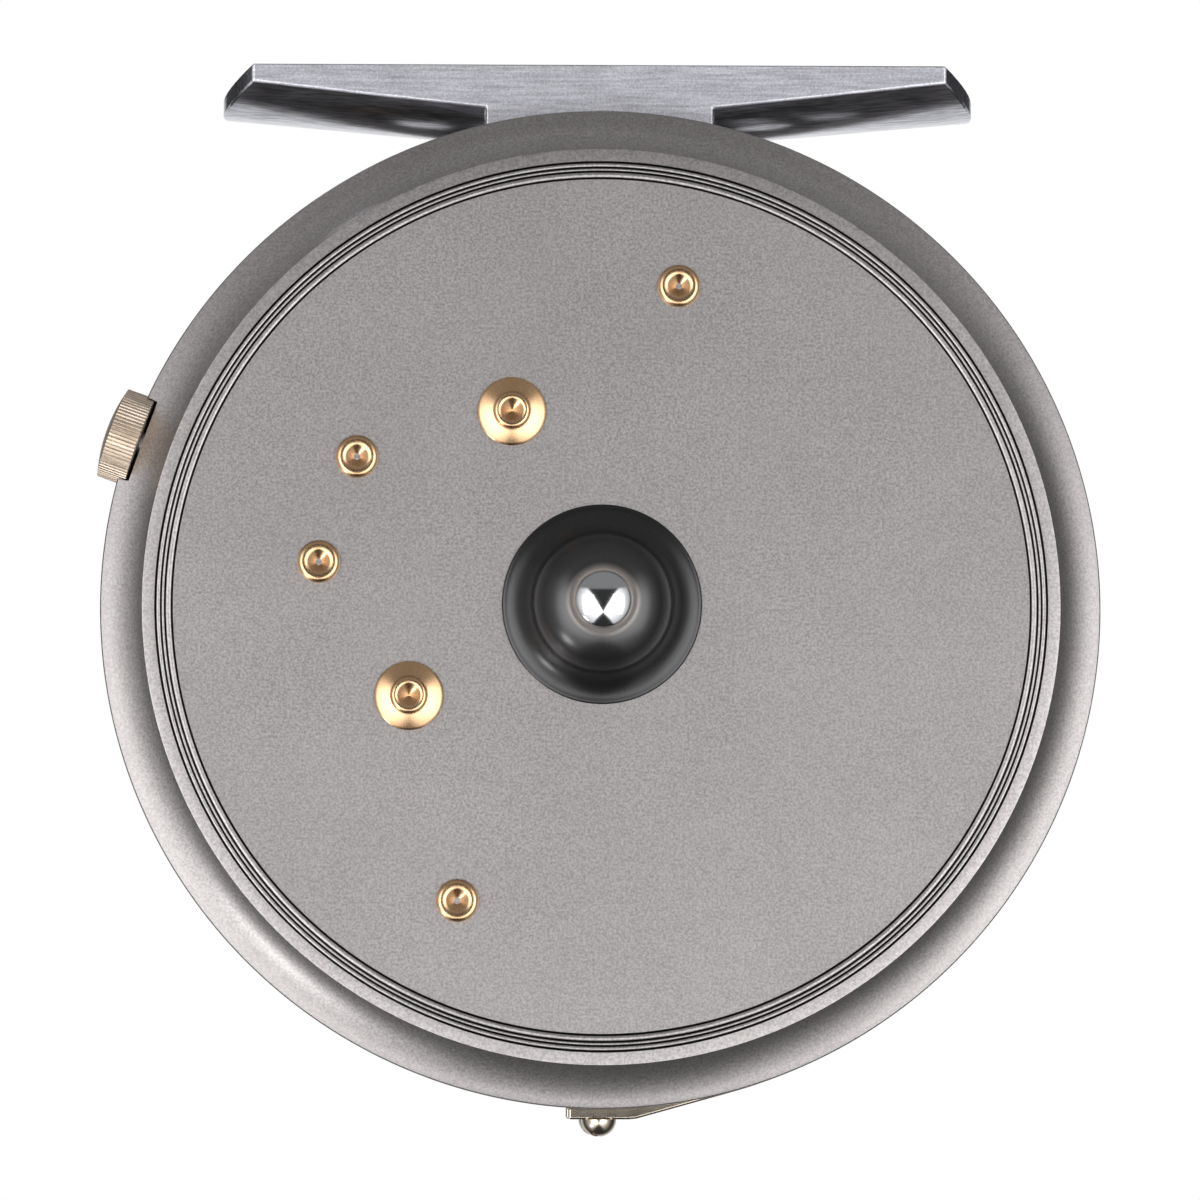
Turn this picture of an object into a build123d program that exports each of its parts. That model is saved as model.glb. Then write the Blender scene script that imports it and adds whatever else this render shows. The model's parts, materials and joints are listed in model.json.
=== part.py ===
from build123d import *

import math
import os

# Click-pawl fly reel: a one-piece caged frame, a perforated spool on a fixed spindle, two rocking
# pawls with leaf springs, a rim knob that sets the springs, a saddle foot and a U-shaped line guard.
#
# All sizes are millimetres and all angles are degrees. Everything is modelled round the spool's axis,
# which runs along Y: the back plate faces -Y, the handle side faces +Y, and the foot points to +Z.
# An angle is measured in the XZ plane from +X towards +Z. save() then lowers the whole reel, so that
# the stored origin lies in the middle of the foot's saddle, where the rod bears.

# ---- Fits ----
fit_gap = 0.03          # radial gap of a fixed pin, screw or bush in its hole
run_gap = 0.04          # radial gap of a shaft that turns or slides in its bore
side_gap = 0.1          # gap beside a piece that moves along its neighbour

# ---- Frame ----
frame_radius = 40.5
back_face = -14.6       # outside of the raised back plate
cove_width = 3.48       # from the raised plate's edge to the rim
plate_wall = 1.8
cove_drop = 2.4         # how far the cove falls from the plate to the rim
cove_hollow = 0.42      # how deep the cove is hollowed under its chord
rim_edge = 0.25         # bevel on the rim's corners
rim_wall = 3.9          # rim's radial thickness round the spool
rim_front = -4.6        # front face of the back rim
cavity_step = 2.0       # how much smaller the recess for the check work is than the rim's bore
cavity_front = -7.0     # where the recess opens out to the rim's bore
ring_back = 8.6         # back face of the front ring
ring_front = 12.6
pillar_radius = 2.0
pillar_angles = (30, 150, 215, 325)
foot_block_span = 26    # angle that the solid block under the foot covers
cage_block_wall = 3.2   # radial thickness of the foot block and the guard block
guard_block_width = 6.0
groove_insets = (2.42, 1.87, 1.55, 1.12)    # of the turned lines, from the raised plate's edge
groove_width = 0.26
groove_depth = 0.18

# ---- Spindle and the boss behind it ----
spindle_radius = 2.6
spindle_tail_radius = 2.19
spindle_flange_radius = 6.5
spindle_flange_wall = 1.2
spindle_shoulder_radius = 4.0
spindle_shoulder_face = -10.4
spindle_neck_radius = 1.9   # bottom of the latch groove
spindle_tip_length = 1.0
spindle_tip_bevel = 0.5
tail_dome = 0.9             # how far the polished tail end stands out of the boss
tail_dome_edge = 0.2
boss_radius = 8.06
boss_edge = 0.22
boss_top_radius = 2.6
boss_bend_radius = 5.6      # where the flare turns into the dome
boss_steepest = 74          # slope angle there
boss_flare_slope = 5        # slope angle at the boss's edge
boss_top_slope = 8          # slope angle round the spindle's tail
thrust_washer_wall = 0.4
thrust_washer_radius = 4.0

# ---- Foot ----
seat_rise = 2.65            # saddle's lowest line above the frame's rim
foot_width = 14.0
foot_half_length = 31.15
foot_corner_length = 28.5   # where the rounded nose starts on the foot's sides
saddle_radius = 13.0
pedestal_half_length = 9.35
pedestal_side_height = 3.6  # side wall of an arm where it meets the pedestal
pedestal_belly_depth = 1.95 # how far the round underside hangs below the side walls there
arm_end_side_height = 1.2   # side wall of an arm at its tip
arm_end_belly_depth = 2.4
foot_screw_spacing = 11.0
foot_screw_radius = 1.25
foot_screw_head_radius = 2.4
foot_screw_length = 5.0
foot_screw_sunk = 0.15      # how far the head lies below the saddle

# ---- Line guard ----
guard_wall = 1.0
guard_leg_width = 2.0
guard_leg_inset = 0.4       # gap from a leg to the rim or ring beside it
guard_lug_overhang = 2.5    # from the screws to the lug's free end
guard_lug_reach = 2.7       # from the screws to where the leg bends inwards
guard_relief = 0.3          # gap between the block and the leg beyond that bend
guard_run_inset = 0.35      # from the rim to the centre of the legs where they follow it
guard_end_angle = 304
guard_bar_radius = 1.15
guard_bar_inset = 0.7       # from the centre of the legs to the bar's centre
guard_screw_radius = 0.8
guard_screw_head_radius = 1.45
guard_screw_head_height = 1.4
guard_screw_depth = 3.0     # how far the shank reaches below the lug

# ---- Check work: angles are counted from the knob's line ----
check_angle = 160.25        # the knob's line
pawl_turn = 45.25           # pawl posts, either side of the knob's line
pawl_post_distance = 17.2
spring_post_turn = 83.8
spring_post_distance = 26.53
guide_rivet_turn = 11.3
guide_rivet_distance = 23.05
shank_radius = 0.9          # rivet shanks in the back plate
rivet_head_radius = 1.72
rivet_head_height = 0.55
dimple_radius = 0.87        # centre-drilled end of each rivet
dimple_depth = 0.75
post_head_radius = 1.5
post_washer_radius = 2.77
post_washer_edge = 0.25
post_washer_rise = 0.7      # washer's thickness under the rivet's head
post_shoulder_radius = 2.2
pawl_back = -9.5
pawl_wall = 2.2
pawl_pin_radius = 1.05
pawl_length = 7.05          # from its pivot to its tip
pawl_heel = 2.9             # from its pivot to its flat back
pawl_half_width = 3.0
pawl_tip_radius = 0.3
pawl_corner_radius = 0.7
spare_pawl_turn = 106.4     # how far the spare pawl is turned out of mesh
pawl_clip_wall = 0.5
pawl_clip_radius = 1.9
post_tip = 0.15             # post's end beyond its clip
spring_wall = 0.35
spring_width = 2.6
spring_back = -10.2
spring_post_radius = 1.5
spring_heel_gap = 0.12      # leaf to the pawl's flat back
spring_flat_half = 3.2      # half of the leaf's straight stretch behind the pawl
spring_tip_offset = 6.2     # leaf's free end, from the knob's line
spring_tip_length = 1.6     # straight stretch that the slide bears on
spring_bend_radius = 1.6

# ---- Regulator ----
knob_axis = -10.5           # Y of the knob's axis
knob_radius = 3.75
knob_wall = 2.35
knob_crown = 0.55
knob_sunk = 0.8             # how far the knob's inner face lies below the rim
knob_pocket_gap = 0.15
knob_pocket_floor_gap = 0.3     # under the knob
knurl_count = 40
knurl_depth = 0.14
screw_radius = 1.2
screw_end = 20.4            # distance of the screw's end from the spool's axis
screw_clip_wall = 0.5
screw_clip_radius = 2.0
guide_half_width = 6.3
guide_length = 3.7          # along the knob's line, with the guide rivets in its middle
screw_way_past_guide = 4.0      # how far the slide's threaded hole is cut past the guide
guide_base_wall = 0.8
guide_height = 4.0
channel_half_width = 2.9
slide_bar_wall = 1.2
slide_bar_inner = 19.4      # the bar's inner face, with the springs slack
slide_bar_half_length = 7.6
slide_bar_height = 3.4
slide_stem_length = 5.2
slide_height = 3.1
slide_lift = 0.15           # slide's underside above the guide's base

# ---- Spool ----
spool_gap = 0.4             # flange to the frame's bore
rear_flange_back = -6.2
rear_flange_wall = 1.0
front_flange_back = 11.4
front_flange_wall = 0.9
flange_lip_wall = 0.3       # raised lip round the front flange
flange_lip_width = 1.4
arbor_radius = 12.0
arbor_wall = 2.4
hub_radius = 5.2
hub_boss_radius = 7.8
hub_boss_length = 3.5
bush_radius = 3.6
bush_length = 5.0
bush_flange_radius = 4.4
bush_flange_wall = 0.6
hole_insets = (4.0, 9.6, 14.8, 19.2)    # rows of holes, from the flange's edge
hole_radii = (2.3, 1.75, 1.5, 1.2)
hole_counts = (24, 24, 12, 12)
hole_first_angles = (0.0, 7.5, 0.0, 15.0)
hole_clearance = 0.6        # least web between a hole and a piece riveted to the flange
ratchet_teeth = 24
ratchet_radius = 10.8
ratchet_root_radius = 9.0
tooth_land = 0.3
gap_land = 0.6
ratchet_wall = 3.1
ratchet_screw_radius = 0.8
ratchet_screw_head_radius = 1.4
ratchet_screw_head_wall = 0.7
ratchet_screw_distance = 6.4
ratchet_screw_length = 5.0

# ---- Latch ----
latch_turn = 90             # latch's line, from the handle's
latch_boss_radius = 9.6
latch_boss_front = 14.5
latch_channel_floor = 12.9
latch_wall = 1.2
latch_half_width = 3.2
latch_travel = 1.6
latch_tail = 6.0            # plate's end behind the axis
latch_channel_end = 8.7
latch_pad_gap = 0.2         # pad to the cover, pressed right in
latch_pad_wall = 1.3
latch_pad_height = 2.4
latch_rib_depth = 0.25
latch_cover_wall = 1.0
latch_cover_bevel = 0.35
latch_cover_hole = 3.1
latch_screw_distance = 6.4
latch_screw_radius = 0.7
latch_screw_head_radius = 1.35
latch_screw_length = 2.4
spring_wire_radius = 0.12
spring_coil_radius = 0.52
spring_coils = 3

# ---- Handle and balance weight ----
handle_angle = 320
handle_inset = 8.7          # from the flange's edge
handle_post_radius = 1.6
handle_base_radius = 4.4
handle_base_wall = 1.0
handle_washer_wall = 0.3
handle_washer_radius = 3.2
handle_rivet_radius = 2.5
handle_rivet_wall = 0.45
grip_length = 16.5
grip_base_radius = 3.5
grip_waist_radius = 3.1
grip_belly_radius = 4.6
grip_end_radius = 3.9
grip_waist_share = 0.16     # places along the grip, as shares of its length
grip_belly_share = 0.74
grip_socket_radius = 2.7
grip_socket_depth = 1.2
handle_screw_radius = 0.8
handle_screw_head_radius = 2.5
handle_screw_head_wall = 0.9
handle_screw_length = 4.0
slot_width = 0.45
slot_depth = 0.3
weight_radius = 4.6
weight_wall = 2.4
weight_bevel = 0.5
weight_rivet_radius = 1.3
weight_rivet_head_wall = 0.4
weight_rivet_head_radius = 2.1

# ---- Sizes that follow from those above ----
bore_radius = frame_radius - rim_wall
plate_radius = frame_radius - cove_width
cavity_radius = bore_radius - cavity_step
knob_seat_radius = frame_radius - knob_sunk
guard_run_radius = frame_radius - guard_run_inset
floor_face = back_face + plate_wall
rim_back = back_face + cove_drop
flange_radius = bore_radius - spool_gap
handle_distance = flange_radius - handle_inset
front_flange_front = front_flange_back + front_flange_wall
boss_root = spindle_radius + run_gap
weight_angle = handle_angle + 180
latch_angle = handle_angle + latch_turn
pawl_front = pawl_back + pawl_wall
seat_height = frame_radius + seat_rise
saddle_depth = saddle_radius - math.sqrt(saddle_radius**2 - (foot_width / 2) ** 2)
foot_top = seat_height + saddle_depth
guard_seat = math.sqrt(frame_radius**2 - (guard_block_width / 2) ** 2)
guard_leg_middles = (
    rim_front + guard_leg_inset + guard_leg_width / 2,
    ring_back - guard_leg_inset - guard_leg_width / 2,
)
latch_face = latch_channel_floor + side_gap
latch_front = latch_face + latch_wall
ratchet_back = rear_flange_back - ratchet_wall
guide_inner = guide_rivet_distance * math.cos(math.radians(guide_rivet_turn)) - guide_length / 2
guide_outer = guide_inner + guide_length


# ---- Building blocks ----
def polar(distance, angle):
    """X and Z of a point at that distance from the spool's axis."""
    return distance * math.cos(math.radians(angle)), distance * math.sin(math.radians(angle))


def rod(radius, start, end, distance=0.0, angle=0.0):
    """A cylinder parallel to the spool's axis, from Y start to Y end."""
    x, z = polar(distance, angle)
    return Pos(x, (start + end) / 2, z) * Rot(90, 0, 0) * Cylinder(radius, end - start)


def ring(outer, inner, start, end, distance=0.0, angle=0.0):
    return rod(outer, start, end, distance, angle) - rod(inner, start, end, distance, angle)


def turned(*edges):
    """A solid turned about the Y axis from a closed profile, drawn with X as radius."""
    return revolve(make_face(list(edges)), Axis.Y)


def outline(*points):
    """Straight edges through the points, closed."""
    return Polyline(*points, close=True).edges()


def standing(solid, distance, angle):
    """Moves what was made on the spool's axis to its own place."""
    x, z = polar(distance, angle)
    return Pos(x, 0, z) * solid


def prism(sketch, start, end, angle=0.0):
    """Extrudes a sketch from Y start to Y end. Its X runs outwards along the angle."""
    x, z = polar(1, angle)
    plane = Plane(origin=(0, end, 0), x_dir=(x, 0, z), z_dir=(0, -1, 0))
    return plane * extrude(sketch, end - start)


def spoke(angle):
    """A plane whose Z runs outwards along the angle, whose X is the reel's Y and whose Y is sideways."""
    x, z = polar(1, angle)
    return Plane(origin=(0, 0, 0), x_dir=(0, 1, 0), z_dir=(x, 0, z))


def radial_rod(radius, start, end, along, angle):
    """A cylinder on a spoke, between two distances from the spool's axis."""
    return spoke(angle) * Pos(along, 0, (start + end) / 2) * Cylinder(radius, end - start)


def flat_head_screw(radius, head_radius, length, sunk_edge=0.15):
    """Countersunk screw along -Z with its head's top at Z = 0, slotted."""
    cone = head_radius - radius
    profile = outline(
        (0, 0), (head_radius, 0), (head_radius, -sunk_edge), (radius, -sunk_edge - cone), (radius, -length), (0, -length)
    )
    body = revolve(make_face(Plane.XZ * Wire(profile)), Axis.Z)
    return body - Box(2 * head_radius, slot_width, 2 * slot_depth)


def flat_head_seat(radius, head_radius, length, above, sunk_edge=0.15):
    """What such a screw needs cut away, with the way in above it."""
    cone = head_radius - radius
    profile = outline(
        (0, above),
        (head_radius + fit_gap, above),
        (head_radius + fit_gap, -sunk_edge),
        (radius + fit_gap, -sunk_edge - cone),
        (radius + fit_gap, -length - fit_gap),
        (0, -length - fit_gap),
    )
    return revolve(make_face(Plane.XZ * Wire(profile)), Axis.Z)


def save(name, shape):
    """Writes one node, lowered from the spool's axis to the foot's saddle."""
    export_step(Pos(0, 0, -seat_height) * shape, f"parts/{name}.step")


# ---- Frame ----
def back_shell():
    start = (spindle_tail_radius + fit_gap, back_face)
    corner = (frame_radius - rim_edge, rim_back)
    profile = [
        Line(start, (plate_radius, back_face)),
        SagittaArc((plate_radius, back_face), corner, cove_hollow),
        Polyline(
            corner,
            (frame_radius, rim_back + rim_edge),
            (frame_radius, rim_front),
            (bore_radius, rim_front),
            (bore_radius, cavity_front),
            (cavity_radius, cavity_front),
            (cavity_radius, floor_face),
            (start[0], floor_face),
            start,
        ).edges(),
    ]
    edges = [profile[0], profile[1], *profile[2]]
    return turned(*edges)


def plate_grooves():
    half = groove_width / 2
    cuts = [
        turned(*outline((r - half, back_face), (r + half, back_face), (r, back_face + groove_depth)))
        for r in (plate_radius - inset for inset in groove_insets)
    ]
    return Part() + cuts


def front_ring():
    return turned(
        *outline(
            (bore_radius, ring_back),
            (frame_radius, ring_back),
            (frame_radius, ring_front - rim_edge),
            (frame_radius - rim_edge, ring_front),
            (bore_radius, ring_front),
        )
    )


def cage_block(half_width):
    """A block between the rims, under the foot or the guard, standing on +Z."""
    inner = frame_radius - cage_block_wall
    length = ring_back - rim_front + 2 * rim_edge
    blank = Pos(0, (ring_back + rim_front) / 2, (inner + frame_radius) / 2) * Box(
        2 * half_width, length, cage_block_wall
    )
    return blank & rod(frame_radius, rim_front - rim_edge, ring_back + rim_edge)


def guard_flat():
    """What is cut off the block for the guard's lugs and for the legs that rise beside it."""
    rise = math.tan(math.radians(guard_touch_angle() - 270))
    reach = guard_lug_reach - guard_relief
    points = [
        (-guard_block_width, -frame_radius - 1),
        (guard_block_width, -frame_radius - 1),
        (guard_block_width, -guard_seat + (guard_block_width - reach) * rise),
        (reach, -guard_seat),
        (-guard_block_width, -guard_seat),
    ]
    return prism(Polygon(*points, align=None), rim_front, ring_back)


def frame():
    foot_half = frame_radius * math.sin(math.radians(foot_block_span / 2))
    guard_block = Rot(0, 180, 0) * cage_block(guard_block_width / 2)
    pillars = [
        rod(pillar_radius, rim_front - rim_edge, ring_back + rim_edge, frame_radius - pillar_radius, angle)
        for angle in pillar_angles
    ]
    solid = back_shell() + front_ring() + cage_block(foot_half) + (guard_block - guard_flat()) + pillars
    pocket = radial_rod(
        knob_radius + knob_pocket_gap, knob_seat_radius - knob_pocket_floor_gap, 2 * frame_radius, knob_axis, check_angle
    )
    screw_way = radial_rod(screw_radius + run_gap, cavity_radius - 2, frame_radius, knob_axis, check_angle)
    clip_way = radial_rod(
        screw_clip_radius + side_gap, cavity_radius - 2, clip_seat(), knob_axis, check_angle
    )
    cuts = [plate_grooves(), pocket, screw_way, clip_way]
    for turn, distance in (
        (pawl_turn, pawl_post_distance),
        (spring_post_turn, spring_post_distance),
        (guide_rivet_turn, guide_rivet_distance),
    ):
        for side in (-1, 1):
            cuts.append(
                rod(shank_radius + fit_gap, back_face - 1, floor_face + 1, distance, check_angle + side * turn)
            )
    for middle in guard_leg_middles:
        cuts.append(
            Pos(0, middle, -guard_seat + guard_screw_depth / 2)
            * Cylinder(guard_screw_radius + fit_gap, guard_screw_depth + 2 * fit_gap)
        )
    for x in (-foot_screw_spacing / 2, foot_screw_spacing / 2):
        top = seat_height - foot_screw_sunk
        cuts.append(
            Pos(x, 0, top - foot_screw_length / 2) * Cylinder(foot_screw_radius + fit_gap, foot_screw_length + fit_gap)
        )
    return solid - cuts


def clip_seat():
    """Distance from the axis of the face that the regulator screw's clip bears on."""
    return cavity_radius + screw_clip_wall


# ---- Spindle, boss and washer ----
def boss_profile():
    """Edges of the bell-shaped boss from its rim to its top, and the height that it reaches."""
    steep = math.radians(boss_steepest)
    flare = math.radians(boss_flare_slope)
    top = math.radians(boss_top_slope)
    flare_radius = (boss_radius - boss_bend_radius) / (math.sin(steep) - math.sin(flare))
    dome_radius = (boss_bend_radius - boss_top_radius) / (math.sin(steep) - math.sin(top))
    rim = (boss_radius, back_face - boss_edge)
    bend_y = rim[1] - flare_radius * (math.cos(flare) - math.cos(steep))
    top_y = bend_y - dome_radius * (math.cos(top) - math.cos(steep))
    flare_arc = TangentArc(rim, (boss_bend_radius, bend_y), tangent=(-math.cos(flare), -math.sin(flare)))
    dome_arc = TangentArc(
        (boss_bend_radius, bend_y), (boss_top_radius, top_y), tangent=(-math.cos(steep), -math.sin(steep))
    )
    return flare_arc, dome_arc, top_y


def hub_boss():
    flare_arc, dome_arc, top_y = boss_profile()
    inner = spindle_tail_radius + fit_gap
    return turned(
        Line((inner, back_face), (boss_radius, back_face)),
        Line((boss_radius, back_face), (boss_radius, back_face - boss_edge)),
        flare_arc,
        dome_arc,
        Line((boss_top_radius, top_y), (inner, top_y)),
        Line((inner, top_y), (inner, back_face)),
    )


def spindle():
    tail_edge = boss_profile()[2] - tail_dome_edge
    tail_tip = boss_profile()[2] - tail_dome
    half = spindle_tail_radius / 2
    rise = tail_dome - tail_dome_edge
    tail_sphere = (spindle_tail_radius**2 + rise**2) / (2 * rise)
    tail_shoulder = tail_tip + tail_sphere - math.sqrt(tail_sphere**2 - half**2)
    neck = (latch_channel_floor, latch_front + side_gap)
    tip = neck[1] + spindle_tip_length
    return turned(
        ThreePointArc(
            (0, tail_tip),
            (half, tail_shoulder),
            (spindle_tail_radius, tail_edge),
        ),
        *Polyline(
            (spindle_tail_radius, tail_edge),
            (spindle_tail_radius, floor_face),
            (spindle_flange_radius, floor_face),
            (spindle_flange_radius, floor_face + spindle_flange_wall),
            (spindle_shoulder_radius, floor_face + spindle_flange_wall),
            (spindle_shoulder_radius, spindle_shoulder_face),
            (spindle_radius, spindle_shoulder_face),
            (spindle_radius, neck[0]),
            (spindle_neck_radius, neck[0]),
            (spindle_neck_radius, neck[1]),
            (spindle_radius, neck[1]),
            (spindle_radius, tip - spindle_tip_bevel),
            (spindle_radius - spindle_tip_bevel, tip),
            (0, tip),
            (0, tail_tip),
        ).edges(),
    )


def thrust_washer():
    start = spindle_shoulder_face
    return ring(thrust_washer_radius, spindle_radius + run_gap, start, start + thrust_washer_wall)


# ---- Foot ----
def arm_section(x, side_height, belly_depth):
    half = foot_width / 2
    low = foot_top - side_height
    face = make_face(
        [
            ThreePointArc((-half, foot_top), (0, seat_height), (half, foot_top)),
            Line((half, foot_top), (half, low)),
            ThreePointArc((half, low), (0, low - belly_depth), (-half, low)),
            Line((-half, low), (-half, foot_top)),
        ]
    )
    return Plane(origin=(x, 0, 0), x_dir=(0, 1, 0), z_dir=(1, 0, 0)) * face


def foot_plan():
    """The foot's outline from above, as a tall block to trim it with."""
    half = foot_width / 2
    corner, end = foot_corner_length, foot_half_length
    face = make_face(
        [
            Line((-corner, -half), (corner, -half)),
            ThreePointArc((corner, -half), (end, 0), (corner, half)),
            Line((corner, half), (-corner, half)),
            ThreePointArc((-corner, half), (-end, 0), (-corner, -half)),
        ]
    )
    return extrude(face, 2 * foot_top)


def foot_screw_places():
    top = seat_height - foot_screw_sunk
    return [Pos(x, 0, top) for x in (-foot_screw_spacing / 2, foot_screw_spacing / 2)]


def reel_foot():
    root = arm_section(pedestal_half_length, pedestal_side_height, pedestal_belly_depth)
    tip = arm_section(foot_half_length, arm_end_side_height, arm_end_belly_depth)
    arm = loft([root, tip], ruled=True)
    low = math.sqrt(frame_radius**2 - pedestal_half_length**2) - 1
    pedestal = Pos(0, 0, (low + foot_top) / 2) * Box(2 * pedestal_half_length, foot_width, foot_top - low)
    saddle = Pos(0, 0, seat_height + saddle_radius) * Rot(0, 90, 0) * Cylinder(saddle_radius, 3 * foot_half_length)
    seats = [
        place * flat_head_seat(foot_screw_radius, foot_screw_head_radius, foot_screw_length, saddle_depth + 1)
        for place in foot_screw_places()
    ]
    arms = arm + mirror(arm, Plane.YZ)
    solid = arms + (pedestal - saddle)
    solid = solid - rod(frame_radius + fit_gap, -foot_width, foot_width)
    return (solid & foot_plan()) - seats


def foot_screws():
    screw = flat_head_screw(foot_screw_radius, foot_screw_head_radius, foot_screw_length)
    return Compound([place * screw for place in foot_screw_places()])


# ---- Line guard ----
def guard_bend():
    return guard_lug_reach, -guard_seat - guard_wall / 2


def guard_touch_angle():
    """Angle at which the straight ramp from the lug meets the leg's run along the rim."""
    x, z = guard_bend()
    return math.degrees(math.atan2(z, x) + math.acos(guard_run_radius / math.hypot(x, z))) % 360


def guard_path():
    """Centre line of a leg in X and Z: along the lug, in to the rim's line and along it."""
    bend, touch = guard_bend(), guard_touch_angle()
    lug = Line((-guard_lug_overhang, bend[1]), bend)
    ramp = Line(bend, polar(guard_run_radius, touch))
    run = CenterArc((0, 0), guard_run_radius, touch, guard_end_angle - touch)
    return lug, ramp, run


def guard_leg(middle):
    lug, ramp, run = guard_path()
    strip = trace([lug, ramp, run], guard_wall)
    return prism(strip, middle - guard_leg_width / 2, middle + guard_leg_width / 2)


def line_guard():
    first, last = guard_leg_middles
    bar = rod(
        guard_bar_radius,
        first - guard_leg_width / 2,
        last + guard_leg_width / 2,
        guard_run_radius - guard_bar_inset,
        guard_end_angle,
    )
    solid = guard_leg(first) + guard_leg(last) + bar
    holes = [
        Pos(0, middle, -guard_seat) * Cylinder(guard_screw_radius + fit_gap, 4 * guard_wall)
        for middle in guard_leg_middles
    ]
    return solid - holes


def guard_screw():
    """Round-headed screw pointing up into the block, with the lug's outer face at Z = 0."""
    across = 2 * guard_screw_head_radius
    head = Sphere(guard_screw_head_radius) & (
        Pos(0, 0, -guard_screw_head_height / 2) * Box(across, across, guard_screw_head_height)
    )
    slot = Pos(0, 0, -guard_screw_head_height) * Box(across, slot_width, 2 * slot_depth)
    length = guard_wall + guard_screw_depth
    shank = Pos(0, 0, length / 2) * Cylinder(guard_screw_radius, length)
    return head - slot + shank


def guard_screws():
    return Compound([Pos(0, middle, -guard_seat - guard_wall) * guard_screw() for middle in guard_leg_middles])


# ---- Rivets and posts through the back plate ----
def rivet_end(seat, radius, height):
    """Profile edges of a spun rivet end with a centre-drilled dimple, from its seat to the axis."""
    top = seat - height
    lip = (dimple_radius + radius) / 2
    return [
        Line((radius, seat), (radius, seat - height * 0.35)),
        ThreePointArc(
            (radius, seat - height * 0.35), (radius - (radius - lip) * 0.3, top + height * 0.18), (lip, top)
        ),
        ThreePointArc(
            (lip, top), ((lip + dimple_radius) / 2, top + height * 0.06), (dimple_radius, top + height * 0.25)
        ),
        Line((dimple_radius, top + height * 0.25), (0, top + dimple_depth)),
    ]


def post(seat, head_radius, steps):
    """A riveted post: its dimpled end outside, its shank in the plate and its steps inside.

    steps lists (radius, Y of that step's end) from the floor inwards."""
    tail_point = (0, seat - rivet_head_height + dimple_depth)
    inside, level = [], floor_face
    for radius, end in steps:
        if radius != shank_radius:
            inside += [(shank_radius, level)] * (not inside) + [(radius, level)]
        inside.append((radius, end))
        level = end
    body = Polyline((head_radius, seat), (shank_radius, seat), *inside, (0, level), tail_point).edges()
    return turned(*rivet_end(seat, head_radius, rivet_head_height), *body)


def washer_top():
    return back_face - post_washer_rise


def pawl_post(angle):
    clip_front = pawl_front + side_gap + pawl_clip_wall
    steps = [(post_shoulder_radius, pawl_back - side_gap), (pawl_pin_radius, clip_front + post_tip)]
    return standing(post(washer_top(), post_head_radius, steps), pawl_post_distance, angle)


def post_washer(angle):
    top = washer_top()
    inner = shank_radius + fit_gap
    solid = turned(
        *outline(
            (inner, back_face),
            (post_washer_radius, back_face),
            (post_washer_radius, back_face - post_washer_edge),
            (post_head_radius + 2 * fit_gap, top),
            (inner, top),
        )
    )
    return standing(solid, pawl_post_distance, angle)


def spring_post(angle):
    steps = [(spring_post_radius, spring_back + spring_width + post_tip)]
    return standing(post(back_face, rivet_head_radius, steps), spring_post_distance, angle)


def guide_rivets():
    end = floor_face + guide_height
    rivet = post(back_face, rivet_head_radius, [(shank_radius, end)])
    angles = [check_angle + side * guide_rivet_turn for side in (-1, 1)]
    return Compound([standing(rivet, guide_rivet_distance, angle) for angle in angles])


# ---- Pawls and their springs ----
def pawl(angle, turn):
    """A triangular pawl on its post, its tip towards the ratchet when turn is 0."""
    tip = Pos(-(pawl_length - pawl_tip_radius), 0) * Circle(pawl_tip_radius)
    reach = pawl_heel - pawl_corner_radius
    spread = pawl_half_width - pawl_corner_radius
    corners = [Pos(reach, y) * Circle(pawl_corner_radius) for y in (-spread, spread)]
    face = make_hull((tip + corners).edges()) - Circle(pawl_pin_radius + run_gap)
    return prism(Pos(pawl_post_distance, 0) * Rot(0, 0, turn) * face, pawl_back, pawl_front, angle)


def pawl_clips():
    start = pawl_front + side_gap
    angles = [check_angle + side * pawl_turn for side in (-1, 1)]
    clip = [
        ring(pawl_clip_radius, pawl_pin_radius + fit_gap, start, start + pawl_clip_wall, pawl_post_distance, a)
        for a in angles
    ]
    return Compound(clip)


def click_spring(side):
    """Leaf spring from its post, past the pawl's back, to where the slide bears on it."""
    angle = check_angle + side * pawl_turn
    swing = math.radians(spring_post_turn - pawl_turn)
    anchor = (spring_post_distance * math.cos(swing), spring_post_distance * math.sin(swing))
    eye = spring_post_radius + fit_gap + spring_wall / 2
    level = pawl_post_distance + pawl_heel + spring_heel_gap + spring_wall / 2
    bar = slide_bar_inner - side_gap - spring_wall / 2
    lean = math.radians(pawl_turn)
    tip = [
        (bar * math.cos(lean) + t * math.sin(lean), -bar * math.sin(lean) + t * math.cos(lean))
        for t in (spring_tip_offset, spring_tip_offset - spring_tip_length)
    ]
    points = [(anchor[0] + eye, anchor[1]), (level, spring_flat_half), (level, -spring_flat_half), *tip]
    path = FilletPolyline(*points, radius=spring_bend_radius)
    leaf = trace(path, spring_wall)
    loop = Pos(*anchor) * (Circle(eye + spring_wall / 2) - Circle(eye - spring_wall / 2))
    face = leaf + loop
    if side < 0:
        face = mirror(face, Plane.XZ)
    return prism(face, spring_back, spring_back + spring_width, angle)


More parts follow.
